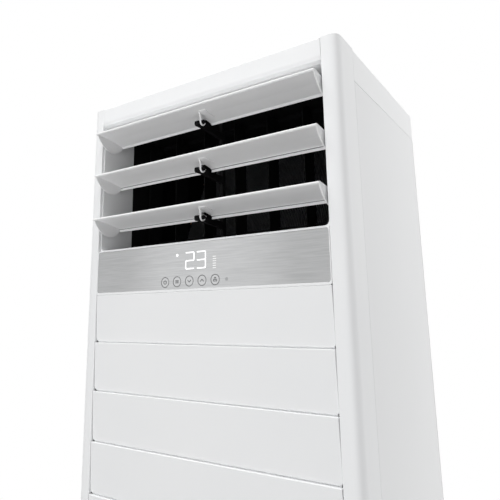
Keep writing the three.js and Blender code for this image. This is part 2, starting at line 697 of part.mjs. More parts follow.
// A flat geared stepper motor with a socket in its collar; drawn with its shaft along +Z.
function stepper() {
  const r = STEPPER_RADIUS;
  const can = turned([
    [0, -STEPPER_LENGTH], [r, -STEPPER_LENGTH], [r, 0], [5, 0], [5, STEPPER_SHAFT], [0, STEPPER_SHAFT],
  ], 14);
  const ears = block(-r - 7, r + 7, -3.5, 3.5, -2.2, -0.8);
  const socket = rod([0, 0, -3], [0, 0, STEPPER_SHAFT + 1], DRIVE_SQUARE / Math.SQRT2 + SEAT, 12);
  return can.add(ears).subtract(socket);
}

// ---- Vanes, drawn about their own pivot axis ----

function vane(isDriven) {
  const bottom = OUTLET_BOTTOM + VANE_FRAME_WALL + RUNNING;
  const top = HEADER_BOTTOM - VANE_FRAME_WALL - RUNNING;
  const t = VANE_THICK / 2;
  const side = new THREE.Shape();
  side.moveTo(-VANE_FORE, bottom + 14);
  side.quadraticCurveTo(-VANE_FORE, bottom, -VANE_FORE + 14, bottom);
  side.lineTo(VANE_AFT, bottom);
  side.lineTo(VANE_AFT, top);
  side.lineTo(-VANE_FORE + 14, top);
  side.quadraticCurveTo(-VANE_FORE, top, -VANE_FORE, top - 14);
  side.closePath();
  const plate = alongX(side, -t, t, 2);
  const slot = block(-2 * t, 2 * t, VANE_CRANK - 5, VANE_AFT + 1, bottom + 26, bottom + 34);
  const reach = VANE_FRAME_WALL + RUNNING;
  const pieces = [
    plate.subtract(slot),
    rod([0, 0, bottom - reach], [0, 0, bottom + 6], VANE_PIN, 8),
    rod([0, 0, top - 6], [0, 0, top + reach], VANE_PIN, 8),
    rod([0, VANE_CRANK, bottom + 24], [0, VANE_CRANK, bottom + 36], 1.6, 6),
  ];
  if (isDriven) {
    const s = DRIVE_SQUARE / 2 - 0.5;
    pieces.push(block(-s, s, -s, s, bottom - reach - 5, bottom - reach + 1));
  }
  return joined(pieces);
}

// The bar through all the vanes; it stays square to the cabinet as they turn.
function vaneLink() {
  const z = OUTLET_BOTTOM + VANE_FRAME_WALL + RUNNING + 28.5;
  const y = VANE_Y + VANE_CRANK;
  const reach = vaneX(VANE_COUNT - 1) + 5;
  const bar = rectangle(-reach, reach, y - 3.5, y + 3.5, 3);
  for (let i = 0; i < VANE_COUNT; i += 1) {
    bar.holes.push(circle(vaneX(i), y, 2.4));
  }
  return alongZ(bar, z, z + 3, 3);
}

// ---- Control fascia ----

const FASCIA_TOP_EDGE = OUTLET_BOTTOM - SEAT;
const KEY_Z = OUTLET_BOTTOM - KEY_DROP;
const DISPLAY_Z = OUTLET_BOTTOM - DISPLAY_DROP;
const KEYS = ['power', 'mode', 'down', 'up', 'fan'];
const WINDOW_RADIUS = 3.2;
const keyX = (index) => KEY_FIRST_X + index * KEY_PITCH;
const WINDOW_X = keyX(KEYS.length) - 4.5;

function fasciaFrame() {
  const outer = rectangle(-PANEL_HALF, PANEL_HALF, FASCIA_BOTTOM + SEAT, FASCIA_TOP_EDGE, FASCIA_CORNER);
  const tray = alongY(outer, FRONT + 0.6, FRONT + FASCIA_DEPTH);
  const lip = FASCIA_LIP;
  const well = rectangle(
    -PANEL_HALF + lip, PANEL_HALF - lip, FASCIA_BOTTOM + SEAT + lip, FASCIA_TOP_EDGE - lip, FASCIA_CORNER - 1,
  );
  const seat = FRONT + 0.6 + FASCIA_PLATE + SEAT;
  const hollow = block(
    -PANEL_HALF + 6, PANEL_HALF - 6, seat + WALL, FRONT + FASCIA_DEPTH + 1,
    FASCIA_BOTTOM + 6, FASCIA_TOP_EDGE - 6,
  );
  let frame = tray.subtract(alongY(well, FRONT, seat)).subtract(hollow);
  KEYS.forEach((_, i) => {
    frame = frame.subtract(rod([keyX(i), FRONT, KEY_Z], [keyX(i), FRONT + 30, KEY_Z], KEY_RADIUS - 2, 10));
  });
  const display = DISPLAY_HEIGHT / 2;
  frame = frame.subtract(block(
    -DISPLAY_WIDTH / 2, DISPLAY_WIDTH / 2, FRONT, FRONT + 30, DISPLAY_Z - display, DISPLAY_Z + display,
  ));
  return frame.subtract(rod([WINDOW_X, FRONT, KEY_Z], [WINDOW_X, FRONT + 30, KEY_Z], WINDOW_RADIUS, 10));
}

function fasciaPlate() {
  const edge = FASCIA_LIP + SEAT;
  const plate = rectangle(
    -PANEL_HALF + edge, PANEL_HALF - edge,
    FASCIA_BOTTOM + SEAT + edge, FASCIA_TOP_EDGE - edge, FASCIA_CORNER - 1.2,
  );
  KEYS.forEach((_, i) => plate.holes.push(circle(keyX(i), KEY_Z, KEY_RADIUS + SEAT)));
  plate.holes.push(circle(WINDOW_X, KEY_Z, WINDOW_RADIUS));
  return alongY(plate, FRONT + 0.6, FRONT + 0.6 + FASCIA_PLATE, 8);
}

// A round push key, flush with the fascia: a cap with a narrower stem through the frame.
function key() {
  const cap = [
    [0, 0], [KEY_RADIUS, 0], [KEY_RADIUS, -FASCIA_PLATE + KEY_TRAVEL + 0.2],
    [KEY_RADIUS - 3.2, -FASCIA_PLATE + KEY_TRAVEL + 0.2], [KEY_RADIUS - 3.2, -KEY_STEM], [0, -KEY_STEM],
  ];
  return turned(cap, 16);
}

function displayBoard() {
  const y = FRONT + KEY_STEM + KEY_TRAVEL + 1;
  const half = DISPLAY_WIDTH / 2;
  const low = KEY_Z - KEY_RADIUS;
  const card = block(keyX(0) - 16, WINDOW_X + 16, y, y + 1.6, low, DISPLAY_Z + DISPLAY_HEIGHT / 2 + 2);
  const lamps = block(
    -half + 3, half - 3, FRONT + 3.6, y + 0.5,
    DISPLAY_Z - DISPLAY_HEIGHT / 2 + 2, DISPLAY_Z + DISPLAY_HEIGHT / 2 - 2,
  );
  const receiver = rod([WINDOW_X, FRONT + 1.4, KEY_Z], [WINDOW_X, y + 0.5, KEY_Z], WINDOW_RADIUS - SEAT, 10);
  return joined([card, lamps, receiver]);
}

// ---- Plank front ----

// Planks in one shell: each face falls back to a rounded lower edge over a groove,
// and the next plank's top edge stands forward as a ledge.
function plankShell(top, count, groove) {
  const faceBack = FRONT + PLANK_RAKE + WALL;
  const wallBack = LEDGE_BACK + WALL;
  const outside = [];
  const inside = [];
  for (let i = 0; i < count; i += 1) {
    const isFirst = i === 0;
    const isLast = i === count - 1;
    const high = top - i * PLANK_PITCH - (isFirst ? SEAT : 0);
    const low = top - (i + 1) * PLANK_PITCH + (isLast ? SEAT : groove);
    outside.push([isFirst ? wallBack : LEDGE_BACK, high, 0], [FRONT, high, 1.2]);
    outside.push([FRONT + PLANK_RAKE, low, PLANK_NOSE], [isLast ? wallBack : LEDGE_BACK, low, 0]);
    inside.unshift(
      [wallBack, low + WALL], [faceBack, low + WALL], [faceBack, high - WALL], [wallBack, high - WALL],
    );
  }
  return alongX(loop([...outside, ...inside]), -PANEL_HALF, PANEL_HALF, 2);
}

function endWalls(top, bottom, y1) {
  const y0 = FRONT + PLANK_RAKE + 1;
  const wall = (x0, x1) => block(x0, x1, y0, y1, bottom + 2, top - 2);
  return wall(-PANEL_HALF, -PANEL_HALF + WALL).add(wall(PANEL_HALF - WALL, PANEL_HALF));
}

function upperPanel() {
  const top = FASCIA_BOTTOM;
  const bottom = GRILLE_TOP;
  return plankShell(top, PANEL_PLANKS, PANEL_GROOVE).add(endWalls(top, bottom, LEDGE_BACK + WALL - SEAT));
}

function intakeGrille() {
  const top = GRILLE_TOP;
  const bottom = GRILLE_BOTTOM;
  const wallBack = FRONT + PANEL_FLANGE + 4;
  let shell = plankShell(top, GRILLE_PLANKS, INTAKE_GROOVE).add(endWalls(top, bottom, wallBack));
  const span = 2 * (PANEL_HALF - PANEL_FLANGE) / INTAKE_SLOTS;
  for (let row = 1; row < GRILLE_PLANKS; row += 1) {
    const z = top - row * PLANK_PITCH;
    for (let i = 0; i < INTAKE_SLOTS; i += 1) {
      const x0 = -PANEL_HALF + PANEL_FLANGE + i * span + INTAKE_BAR / 2;
      shell = shell.subtract(block(
        x0, x0 + span - INTAKE_BAR, LEDGE_BACK - 1, LEDGE_BACK + WALL + 1, z + 2, z + INTAKE_GROOVE - 2,
      ));
    }
  }
  [-HINGE_X, HINGE_X].forEach((x) => {
    const reach = EAR_HALF + RUNNING;
    shell = shell.subtract(block(
      x - reach, x + reach, FRONT + PLANK_RAKE + WALL, LEDGE_BACK + 2 * WALL, bottom - 1, bottom + 2 * WALL,
    ));
  });
  return joined([shell, filterRails(top, bottom), grilleHinge()]);
}

// Channels on the grille's back that the two filters slide in.
function filterRails(top, bottom) {
  const y0 = LEDGE_BACK + WALL;
  const y1 = y0 + FILTER_THICK + 2 * RUNNING;
  const z0 = bottom + FILTER_RISE;
  const z1 = top - 8;
  const edge = RAIL_EDGE;
  const angle = (x0, x1, lipX0, lipX1) => (
    block(x0, x1, y0 - 1, y1, z0, z1).add(block(lipX0, lipX1, y1 - 0.5, y1 + 1.6, z0, z1))
  );
  const left = angle(-edge - 2, -edge, -edge - 2, -edge + 6);
  const right = angle(edge, edge + 2, edge - 6, edge + 2);
  const middle = angle(-1.5, 1.5, -8, 8);
  const rest = block(-edge - 2, edge + 2, y0 - 1, y1, z0 - 3, z0);
  return joined([left, right, middle, rest]);
}

// A lug beside each of the kick plate's ears, with a pin through the ear.
function grilleHinge() {
  const lug = (side) => {
    const face = FRONT + PLANK_RAKE + WALL - 1;
    const outline = loop([
      [face, HINGE_Z - 5], [HINGE_Y + 5, HINGE_Z - 5, 4], [HINGE_Y + 5, HINGE_Z + 5, 4], [face, HINGE_Z + 9],
    ]);
    const inner = HINGE_X - EAR_HALF - RUNNING;
    const [x0, x1] = [side * (inner - 5), side * inner].sort((a, b) => a - b);
    const at = (x) => [side * x, HINGE_Y, HINGE_Z];
    const pin = rod(at(inner - 1), at(HINGE_X + EAR_HALF), HINGE_PIN, 8);
    return alongX(outline, x0, x1, 3).add(pin);
  };
  return lug(-1).add(lug(1));
}

// A frame of thin ribs over a fine mesh sheet.
function airFilter(side) {
  const edge = RAIL_EDGE;
  const x0 = 1.5 + RUNNING;
  const x1 = edge - RUNNING;
  const y0 = LEDGE_BACK + WALL + RUNNING;
  const y1 = y0 + FILTER_THICK;
  const z0 = GRILLE_BOTTOM + FILTER_RISE + RUNNING;
  const z1 = GRILLE_TOP - 12;
  const place = (a, b) => [side * a, side * b].sort((p, q) => p - q);
  const [left, right] = place(x0, x1);
  const outline = rectangle(left, right, z0, z1, 6);
  const rowHeight = (z1 - z0 - FILTER_RIM) / FILTER_BARS;
  const frame = alongY(outline, y0, y1);
  const windows = [];
  for (let i = 0; i < FILTER_BARS; i += 1) {
    const z = z0 + FILTER_RIM + i * rowHeight;
    windows.push(block(
      left + FILTER_RIM, right - FILTER_RIM, y0 + FILTER_MESH, y1 + 1, z, z + rowHeight - FILTER_RIM,
    ));
  }
  return frame.subtract(joined(windows));
}

// A folded channel across the cabinet behind the joint of the two front panels,
// with two spring catches for the grille.
function crossRail() {
  const y0 = FRONT + PANEL_FLANGE + 4 + FILTER_THICK + 8;
  const y1 = y0 + RAIL_WIDTH;
  const half = HALF - FLANGE - SEAT;
  const z = GRILLE_TOP - RAIL_HEIGHT / 2;
  const section = loop([
    [y0, z, BEND], [y1, z, 0], [y1, z + SHEET, 0], [y0 + SHEET, z + SHEET, 0],
    [y0 + SHEET, z + RAIL_HEIGHT - SHEET, 0], [y1, z + RAIL_HEIGHT - SHEET, 0],
    [y1, z + RAIL_HEIGHT, 0], [y0, z + RAIL_HEIGHT, BEND],
  ]);
  const rail = alongX(section, -half, half, 2);
  const catchBox = (x) => block(
    x - CATCH_WIDTH / 2, x + CATCH_WIDTH / 2, FRONT + PLANK_RAKE + 2 * WALL + 2, y0 + SHEET / 2,
    z + 4, z + 4 + CATCH_HEIGHT,
  );
  const catchX = PANEL_HALF - WALL - RUNNING / 2 - CATCH_WIDTH / 2;
  return joined([rail, catchBox(-catchX), catchBox(catchX)]);
}

// ---- Blower ----

// The scroll's spiral, in x and z about the wheel centre: it starts at the tongue,
// runs round below the wheel, and rises straight to the deck on the right.
function scrollOutline(inset) {
  const points = [];
  const turns = 16;
  const from = rad(105);
  const to = rad(360);
  for (let i = 0; i <= turns; i += 1) {
    const angle = from + (to - from) * (i / turns);
    const radius = SCROLL_START + (SCROLL_END - SCROLL_START) * (i / turns) - inset;
    points.push(new THREE.Vector2(BLOWER_X + radius * Math.cos(angle), BLOWER_Z + radius * Math.sin(angle)));
  }
  points.push(new THREE.Vector2(BLOWER_X + SCROLL_END - inset, DECK_Z - SEAT));
  points.push(new THREE.Vector2(points[0].x, DECK_Z - SEAT));
  return new THREE.Shape(points);
}

function scrollRear() {
  const outer = alongY(scrollOutline(0), SCROLL_FRONT + SCROLL_WALL + SEAT, SCROLL_BACK);
  const inner = alongY(scrollOutline(SCROLL_WALL), SCROLL_FRONT - 1, SCROLL_BACK - SCROLL_WALL);
  const mouth = block(
    BLOWER_X + SCROLL_START * Math.cos(rad(105)) + SCROLL_WALL, BLOWER_X + SCROLL_END - SCROLL_WALL,
    SCROLL_FRONT, SCROLL_BACK - SCROLL_WALL, DECK_Z - 40, DECK_Z + 5,
  );
  const shaftAt = (y) => [BLOWER_X, y, BLOWER_Z];
  const bore = rod(shaftAt(SCROLL_BACK - 9), shaftAt(SCROLL_BACK + 5), HUB_RADIUS + 8, 24);
  return outer.subtract(inner).subtract(mouth).subtract(bore);
}

// The front plate with its bell mouth, which leads the air into the wheel.
function scrollFront() {
  const plate = alongY(scrollOutline(0), SCROLL_FRONT, SCROLL_FRONT + SCROLL_WALL);
  const hole = rod(
    [BLOWER_X, SCROLL_FRONT - 5, BLOWER_Z], [BLOWER_X, SCROLL_FRONT + 9, BLOWER_Z], INLET_RADIUS + BELL, 30,
  );
  const flow = [[INLET_RADIUS + BELL + 3, 0]];
  const back = [[INLET_RADIUS + BELL + 3, SCROLL_WALL]];
  const steps = 3;
  for (let i = 0; i <= steps; i += 1) {
    const angle = (i / steps) * Math.PI / 2;
    const radius = INLET_RADIUS + BELL * (1 - Math.sin(angle));
    const depth = BELL * (1 - Math.cos(angle));
    flow.push([radius, depth]);
    back.push([radius + SCROLL_WALL * Math.sin(angle), depth + SCROLL_WALL * Math.cos(angle)]);
  }
  const ring = turned([...flow, ...back.reverse(), flow[0]], 30);
  return plate.subtract(hole).add(moved(ring, X_AXIS, -90, [BLOWER_X, SCROLL_FRONT, BLOWER_Z]));
}

// A forward-curved blade: a thin arc between the wheel's inner and outer radius, swept along the axis.
function bladeOutline() {
  const steps = 3;
  const inner = WHEEL_RADIUS - BLADE_CHORD;
  const lead = (i) => 0.13 * (i / steps) ** 2;
  const point = (i, offset) => {
    const radius = inner + BLADE_CHORD * (i / steps);
    const angle = lead(i) + offset / radius;
    return new THREE.Vector2(radius * Math.cos(angle), radius * Math.sin(angle));
  };
  const face = Array.from({ length: steps + 1 }, (_, i) => point(i, 0));
  const back = Array.from({ length: steps + 1 }, (_, i) => point(i, BLADE_THICK)).reverse();
  return new THREE.Shape([...face, ...back]);
}

// Drawn with its axis along Z, open end up.
function blowerWheel() {
  const rimIn = WHEEL_RADIUS - BLADE_CHORD - 2;
  const rim = WHEEL_RADIUS + 2;
  const sides = 32;
  const cone = turned([
    [0, 0], [rim, 0], [rim, 2], [HUB_RADIUS + 40, 2], [HUB_RADIUS, 30], [HUB_RADIUS, 44], [0, 44],
  ], sides);
  const hollow = turned([[0, -1], [HUB_RADIUS + 37, -1], [HUB_RADIUS - 3, 26], [0, 26]], sides);
  const top = WHEEL_WIDTH;
  const ring = turned([[rimIn, top - 5], [rim, top - 5], [rim, top], [rimIn, top], [rimIn, top - 5]], sides);
  const pieces = [cone.subtract(hollow), ring];
  const outline = bladeOutline();
  for (let i = 0; i < BLADE_COUNT; i += 1) {
    pieces.push(moved(alongZ(outline, 1, top - 2), Z_AXIS, (360 * i) / BLADE_COUNT));
  }
  const bore = rod([0, 0, 20], [0, 0, 50], SHAFT_RADIUS + SEAT, 10);
  return joined(pieces).subtract(bore);
}

// Drawn with its shaft along +Z from the mounting face.
function fanMotor() {
  return turned([
    [0, -MOTOR_LENGTH], [MOTOR_RADIUS - 8, -MOTOR_LENGTH], [MOTOR_RADIUS, -MOTOR_LENGTH + 10],
    [MOTOR_RADIUS, -50], [MOTOR_RADIUS + 5, -50], [MOTOR_RADIUS + 5, -44], [MOTOR_RADIUS, -44],
    [MOTOR_RADIUS, -8], [MOTOR_RADIUS - 8, 0], [SHAFT_RADIUS, 0], [SHAFT_RADIUS, MOTOR_SHAFT],
    [0, MOTOR_SHAFT],
  ], 20);
}

// A ring with three feet that carries the motor on the back of the scroll.
function motorBracket() {
  const y0 = SCROLL_BACK + SEAT;
  const y1 = y0 + MOTOR_GAP + MOTOR_GRIP;
  const ring = circle(BLOWER_X, BLOWER_Z, MOTOR_RADIUS + 14);
  ring.holes.push(circle(BLOWER_X, BLOWER_Z, MOTOR_RADIUS + SEAT));
  let bracket = alongY(ring, y1 - 2, y1, 14);
  for (let i = 0; i < 3; i += 1) {
    const leg = block(MOTOR_RADIUS + 2, MOTOR_RADIUS + 12, y0, y1 - 1, -14, 14);
    const foot = block(MOTOR_RADIUS + 2, MOTOR_RADIUS + 40, y0, y0 + 2, -14, 14);
    bracket = bracket.add(moved(leg.add(foot), Y_AXIS, 90 + 120 * i, [BLOWER_X, 0, BLOWER_Z]));
  }
  return bracket;
}

// The floor of the air channel, with the scroll's outlet through it.
function blowerDeck() {
  const half = HALF - SHEET - SEAT - 1;
  const y0 = SEAM + SHEET + SEAT;
  const y1 = REAR_FLANGE - SHEET - SEAT;
  const floor = rectangle(-half, half, y0, y1, 4);
  const left = BLOWER_X + SCROLL_START * Math.cos(rad(105)) + SCROLL_WALL;
  const right = BLOWER_X + SCROLL_END - SCROLL_WALL;
  floor.holes.push(rectangle(left, right, SCROLL_FRONT + SCROLL_WALL + 2, SCROLL_BACK - SCROLL_WALL, 2));
  floor.holes.push(circle(PIPE_X, GAS_Y, GAS_RADIUS + 2));
  floor.holes.push(circle(PIPE_X, LIQUID_Y, LIQUID_RADIUS + 2));
  floor.holes.push(circle(HOSE_X, HOSE_Y, HOSE_RADIUS + 2));
  return alongZ(floor, DECK_Z, DECK_Z + SHEET, 5);
}

// The wall between the air channel and the controls, with a stiffening fold at its top and bottom.
function ductPartition() {
  const half = HALF - SHEET - SEAT - 1;
  const y = PARTITION_Y;
  const fold = y - PARTITION_FOLD;
  const z0 = DECK_Z + SHEET + SEAT;
  const z1 = OUTLET_BOTTOM - SEAT;
  const section = loop([
    [y, z0, 0], [fold, z0, 0], [fold, z0 + SHEET, 0], [y - SHEET, z0 + SHEET, 0],
    [y - SHEET, z1 - SHEET, 0], [fold, z1 - SHEET, 0], [fold, z1, 0], [y, z1, 0],
  ]);
  return alongX(section, -half, half);
}

// ---- Heat exchanger ----

// Drawn standing on its lower front edge: thickness along +Y, fins' height along +Z.
function coil() {
  const half = COIL_LENGTH / 2;
  const teeth = Math.floor(COIL_LENGTH / COIL_PITCH);
  const step = COIL_LENGTH / teeth;
  const front = [];
  const rear = [];
  for (let i = 0; i < teeth; i += 1) {
    const x = -half + i * step;
    const bite = COIL_TEETH_DEPTH;
    front.push([x, 0], [x + step * 0.6, 0], [x + step * 0.6, bite], [x + step, bite]);
    rear.unshift(
      [x + step * 0.6, COIL_THICK], [x, COIL_THICK],
    );
    rear.splice(0, 0, [x + step, COIL_THICK - bite], [x + step * 0.6, COIL_THICK - bite]);
  }
  const corners = [...front, ...rear].map(([x, y]) => new THREE.Vector2(x, y));
  return alongZ(new THREE.Shape(corners), 0, COIL_SPAN);
}

// The tube sheet at the coil's left end with its return bends.
function coilBends() {
  const x = -COIL_LENGTH / 2 - SEAT - 1.5;
  const pieces = [block(x, x + 1.5, 0, COIL_THICK, 0, COIL_SPAN)];
  const count = 5;
  const pitch = COIL_SPAN / count;
  for (let i = 0; i < count; i += 1) {
    const z = pitch * (i + 0.5);
    pieces.push(bentRod([
      [x + 0.5, 10, z - BEND_RADIUS], [x - 6, 10, z - BEND_RADIUS], [x - 14, 14, z],
      [x - 6, 20, z + BEND_RADIUS], [x + 0.5, 20, z + BEND_RADIUS],
    ], BEND_TUBE, 6, 5));
  }
  return joined(pieces);
}

function drainPan() {
  const half = PAN_HALF;
  const y0 = PAN_FRONT;
  const y1 = y0 + PAN_DEPTH;
  const z0 = PAN_BOTTOM;
  const section = loop([
    [y0, z0 + 8, 4], [y0 + 20, z0, 4], [y1, z0, 4], [y1, z0 + PAN_HEIGHT, 0],
    [y1 - WALL, z0 + PAN_HEIGHT, 0], [y1 - WALL, z0 + WALL, 2], [y0 + 20, z0 + WALL, 3],
    [y0 + WALL, z0 + 8 + WALL, 2], [y0 + WALL, z0 + PAN_HEIGHT, 0], [y0, z0 + PAN_HEIGHT, 0],
  ]);
  const filled = loop([
    [y0, z0 + 8, 4], [y0 + 20, z0, 4], [y1, z0, 4], [y1, z0 + PAN_HEIGHT, 0], [y0, z0 + PAN_HEIGHT, 0],
  ]);
  const trough = alongX(section, -half, half);
  const spout = rod([HOSE_START_X, HOSE_START_Y, z0 + 1], [HOSE_START_X, HOSE_START_Y, z0 - 14], 7, 12);
  const bore = rod([HOSE_START_X, HOSE_START_Y, z0 + 6], [HOSE_START_X, HOSE_START_Y, z0 - 20], 5, 12);
  return joined([
    trough, alongX(filled, -half - WALL, -half + 0.5), alongX(filled, half - 0.5, half + WALL), spout,
  ]).subtract(bore);
}

// Foam that lines the chamber round the coil: two sides and a roof.
function plenumLiner() {
  const y0 = VANE_FRAME_BACK + SEAT;
  const y1 = REAR_SKIN - 12;
  const top = HEADER_BOTTOM - SEAT;
  const bottom = PAN_BOTTOM;
  const section = loop([
    [-DUCT_HALF, bottom], [-DUCT_HALF, top, 6], [DUCT_HALF, top, 6], [DUCT_HALF, bottom],
    [DUCT_HALF - LINER, bottom], [DUCT_HALF - LINER, top - LINER, 6],
    [-DUCT_HALF + LINER, top - LINER, 6], [-DUCT_HALF + LINER, bottom],
  ]);
  return alongY(section, y0, y1);
}

// ---- Pipes ----

function hexNut(x, y, z0, z1, radius) {
  const nut = new THREE.CylinderGeometry(radius, radius, z1 - z0, 6).rotateX(Math.PI / 2);
  return solid(nut.translate(x, y, (z0 + z1) / 2));
}

function pipe(start, y, radius) {
  const curve = bentRod([
    start, [PIPE_X, start[1] + 26, start[2] - 12], [PIPE_X, y - 12, start[2] - 70],
    [PIPE_X, y, start[2] - 130],
    [PIPE_X, y, (start[2] + PIPE_END_Z) / 2], [PIPE_X, y, PIPE_END_Z + 60], [PIPE_X, y, PIPE_END_Z + 8],
  ], radius, 8, 15);
  const nut = hexNut(PIPE_X, y, PIPE_END_Z - 16, PIPE_END_Z + 10, radius + NUT_GRIP);
  const stub = rod([COIL_LENGTH / 2 + SEAT, start[1], start[2]], [PIPE_X + 2, start[1], start[2]], radius, 8);
  return joined([curve, nut, stub]);
}

function pipeBracket() {
  const z = PIPE_END_Z + 34;
  const x1 = SHEET_HALF - SEAT;
  const plate = rectangle(PIPE_X - 16, x1, LIQUID_Y - 18, GAS_Y + 20, 3);
  plate.holes.push(circle(PIPE_X, GAS_Y, GAS_RADIUS + SEAT));
  plate.holes.push(circle(PIPE_X, LIQUID_Y, LIQUID_RADIUS + SEAT));
  const flange = block(x1 - SHEET, x1, LIQUID_Y - 15, GAS_Y + 17, z - 24, z + 1);
  return alongZ(plate, z, z + 2, 6).add(flange);
}

function drainHose() {
  const top = PAN_BOTTOM - HOSE_CLEAR;
  const down = (z) => [HOSE_X, HOSE_Y, z];
  return bentRod([
    [HOSE_START_X, HOSE_START_Y, top], [HOSE_START_X, HOSE_START_Y, top - 30],
    [HOSE_START_X - 12, HOSE_START_Y + 50, top - 80], [HOSE_X, HOSE_Y - 26, top - 130], down(top - 200),
    down(DECK_Z + 120), down(DECK_Z - 60), down(HOSE_END_Z + 170), down(HOSE_END_Z),
  ], HOSE_RADIUS, 8, 20);
}

// ---- Electrics ----

function controlBox() {
  const outer = block(-BOX_HALF, BOX_HALF, BOX_FRONT, BOX_BACK, BOX_Z0, BOX_Z1);
  const t = SHEET;
  const hollow = block(-BOX_HALF + t, BOX_HALF - t, BOX_FRONT - 1, BOX_BACK - t, BOX_Z0 + t, BOX_Z1 - t);
  const wireHole = rod([-90, BOX_FRONT + 44, BOX_Z0 - 2], [-90, BOX_FRONT + 44, BOX_Z0 + 4], 12, 12);
  return outer.subtract(hollow).subtract(wireHole);
}

function controlBoxCover() {
  const y1 = BOX_FRONT - SEAT;
  const plate = rectangle(-BOX_HALF, BOX_HALF, BOX_Z0, BOX_Z1, 3);
  const vents = [];
  for (let i = 0; i < VENT_COUNT; i += 1) {
    const z = BOX_Z1 - 30 - i * VENT_PITCH;
    vents.push(rectangle(-VENT_WIDTH / 2, VENT_WIDTH / 2, z - VENT_HEIGHT / 2, z + VENT_HEIGHT / 2, 2));
  }
  plate.holes.push(...vents);
  return alongY(plate, y1 - SHEET, y1, 2);
}

function controlBoard() {
  const y1 = BOX_BACK - SHEET - 8;
  const edge = BOX_HALF - CARD_MARGIN;
  const card = block(-edge, edge, y1 - 1.6, y1, BOX_Z0 + CARD_MARGIN + 2, BOX_Z1 - CARD_MARGIN - 2);
  const relay = block(40, 70, y1 - 20, y1 - 1, BOX_Z0 + 40, BOX_Z0 + 58);
  const transformer = block(60, 115, y1 - 44, y1 - 1, BOX_Z1 - 90, BOX_Z1 - 40);
  const capacitor = rod([-60, y1 - 1, BOX_Z1 - 60], [-60, y1 - 38, BOX_Z1 - 60], 16, 16);
  const small = rod([-10, y1 - 1, BOX_Z1 - 60], [-10, y1 - 24, BOX_Z1 - 60], 8, 12);
  const terminals = block(-115, -30, y1 - 22, y1 - 1, BOX_Z0 + 30, BOX_Z0 + 52);
  return joined([card, relay, transformer, capacitor, small, terminals]);
}

// ---- Fittings on the back ----

function pipeGrommet() {
  const ring = (grow) => rectangle(
    PORT_X - PORT_WIDTH / 2 - grow, PORT_X + PORT_WIDTH / 2 + grow,
    PORT_Z - PORT_HEIGHT / 2 - grow, PORT_Z + PORT_HEIGHT / 2 + grow, 30,
  );
  const outside = ring(4);
  outside.holes.push(ring(-4));
  const throat = ring(-SEAT);
  throat.holes.push(ring(-4));
  return alongY(throat, REAR_SKIN - 3, BACK + 1).add(alongY(outside, BACK + SEAT, BACK + 2.4));
}

function cableGland() {
  const body = turned([
    [5, -14], [9, -14], [GLAND_BORE - SEAT, -10], [GLAND_BORE - SEAT, SEAT], [15, SEAT], [15, 5],
    [12, 9], [9, 12], [5, 12], [5, -14],
  ], 14);
  return moved(body, X_AXIS, -90, [GLAND_X, BACK, GLAND_Z]);
}

function wallBracket() {
  const y0 = BACK + SEAT;
  const top = SHELL_TOP - 4;
  const plate = rectangle(-BRACKET_WIDTH / 2, BRACKET_WIDTH / 2, top - BRACKET_HEIGHT, top, 6);
  const slotTop = top - 16;
  const half = SLOT_WIDTH / 2;
  const slot = rectangle(-half, half, slotTop - SLOT_HEIGHT, slotTop, SLOT_HEIGHT / 2 - 0.1);
  plate.holes.push(slot);
  return alongY(plate, y0, y0 + 2);
}

// ---- Assembly ----

addPiece('base_pan', basePan(), zincSteel());
addPiece('kick_plate', kickPlate(), whiteShell());
addPiece('pillar_left', pillar(-1), whiteShell());
addPiece('pillar_right', pillar(1), whiteShell());
addPiece('side_panel_left', sidePanel(-1), coatedSteel());
addPiece('side_panel_right', sidePanel(1), coatedSteel());
addPiece('rear_panel', rearPanel(), coatedSteel());
addPiece('top_cover', topCover(), whiteShell());
addPiece('header_panel', headerPanel(), whiteShell());
addPiece('outlet_frame', outletFrame(), whiteShell());
addPiece('vane_frame', vaneFrame(), blackPlastic());
addPiece('louver_support', louverSupport(), blackPlastic());

for (let i = 0; i < LOUVER_COUNT; i += 1) {
  const isDriven = i === LOUVER_COUNT - 1;
  const blade = addPiece(`louver_${i + 1}`, louver(isDriven), whiteShell());
  blade.position.set(0, LOUVER_Y, pivotHeight(i));
  blade.rotation.x = -rad(LOUVER_TILT);
}
addPiece('louver_link', louverLink(), greyPlastic());
const louverMotor = addPiece('louver_motor', stepper(), greyPlastic());
louverMotor.position.set(MOTOR_FACE, LOUVER_Y, pivotHeight(LOUVER_COUNT - 1));
louverMotor.rotation.set(0, -Math.PI / 2, 0);

for (let i = 0; i < VANE_COUNT; i += 1) {
  const blade = addPiece(`vane_${i + 1}`, vane(i === VANE_COUNT - 1), blackPlastic());
  blade.position.set(vaneX(i), VANE_Y, 0);
}
addPiece('vane_link', vaneLink(), blackPlastic());
const vaneMotor = addPiece('vane_motor', stepper(), greyPlastic());
vaneMotor.position.set(vaneX(VANE_COUNT - 1), VANE_Y, OUTLET_BOTTOM - 2 - STEPPER_SHAFT);

const exchanger = new THREE.Group();
exchanger.position.set(0, COIL_FRONT_Y, COIL_FOOT_Z);
exchanger.rotation.x = -LEAN;
cabinet.add(exchanger);
addPiece('evaporator_coil', coil(), finStock(), exchanger);
addPiece('coil_bends', coilBends(), copper(), exchanger);
addPiece('drain_pan', drainPan(), blackPlastic());
addPiece('plenum_liner', plenumLiner(), blackFoam());
addPiece('drain_hose', drainHose(), rubber());
const gasStart = [PIPE_X, COIL_FRONT_Y + 72, COIL_FOOT_Z + 130];
const liquidStart = [PIPE_X, COIL_FRONT_Y + 42, COIL_FOOT_Z + 60];
addPiece('gas_pipe', pipe(gasStart, GAS_Y, GAS_RADIUS), copper());
addPiece('liquid_pipe', pipe(liquidStart, LIQUID_Y, LIQUID_RADIUS), copper());
addPiece('pipe_bracket', pipeBracket(), zincSteel());

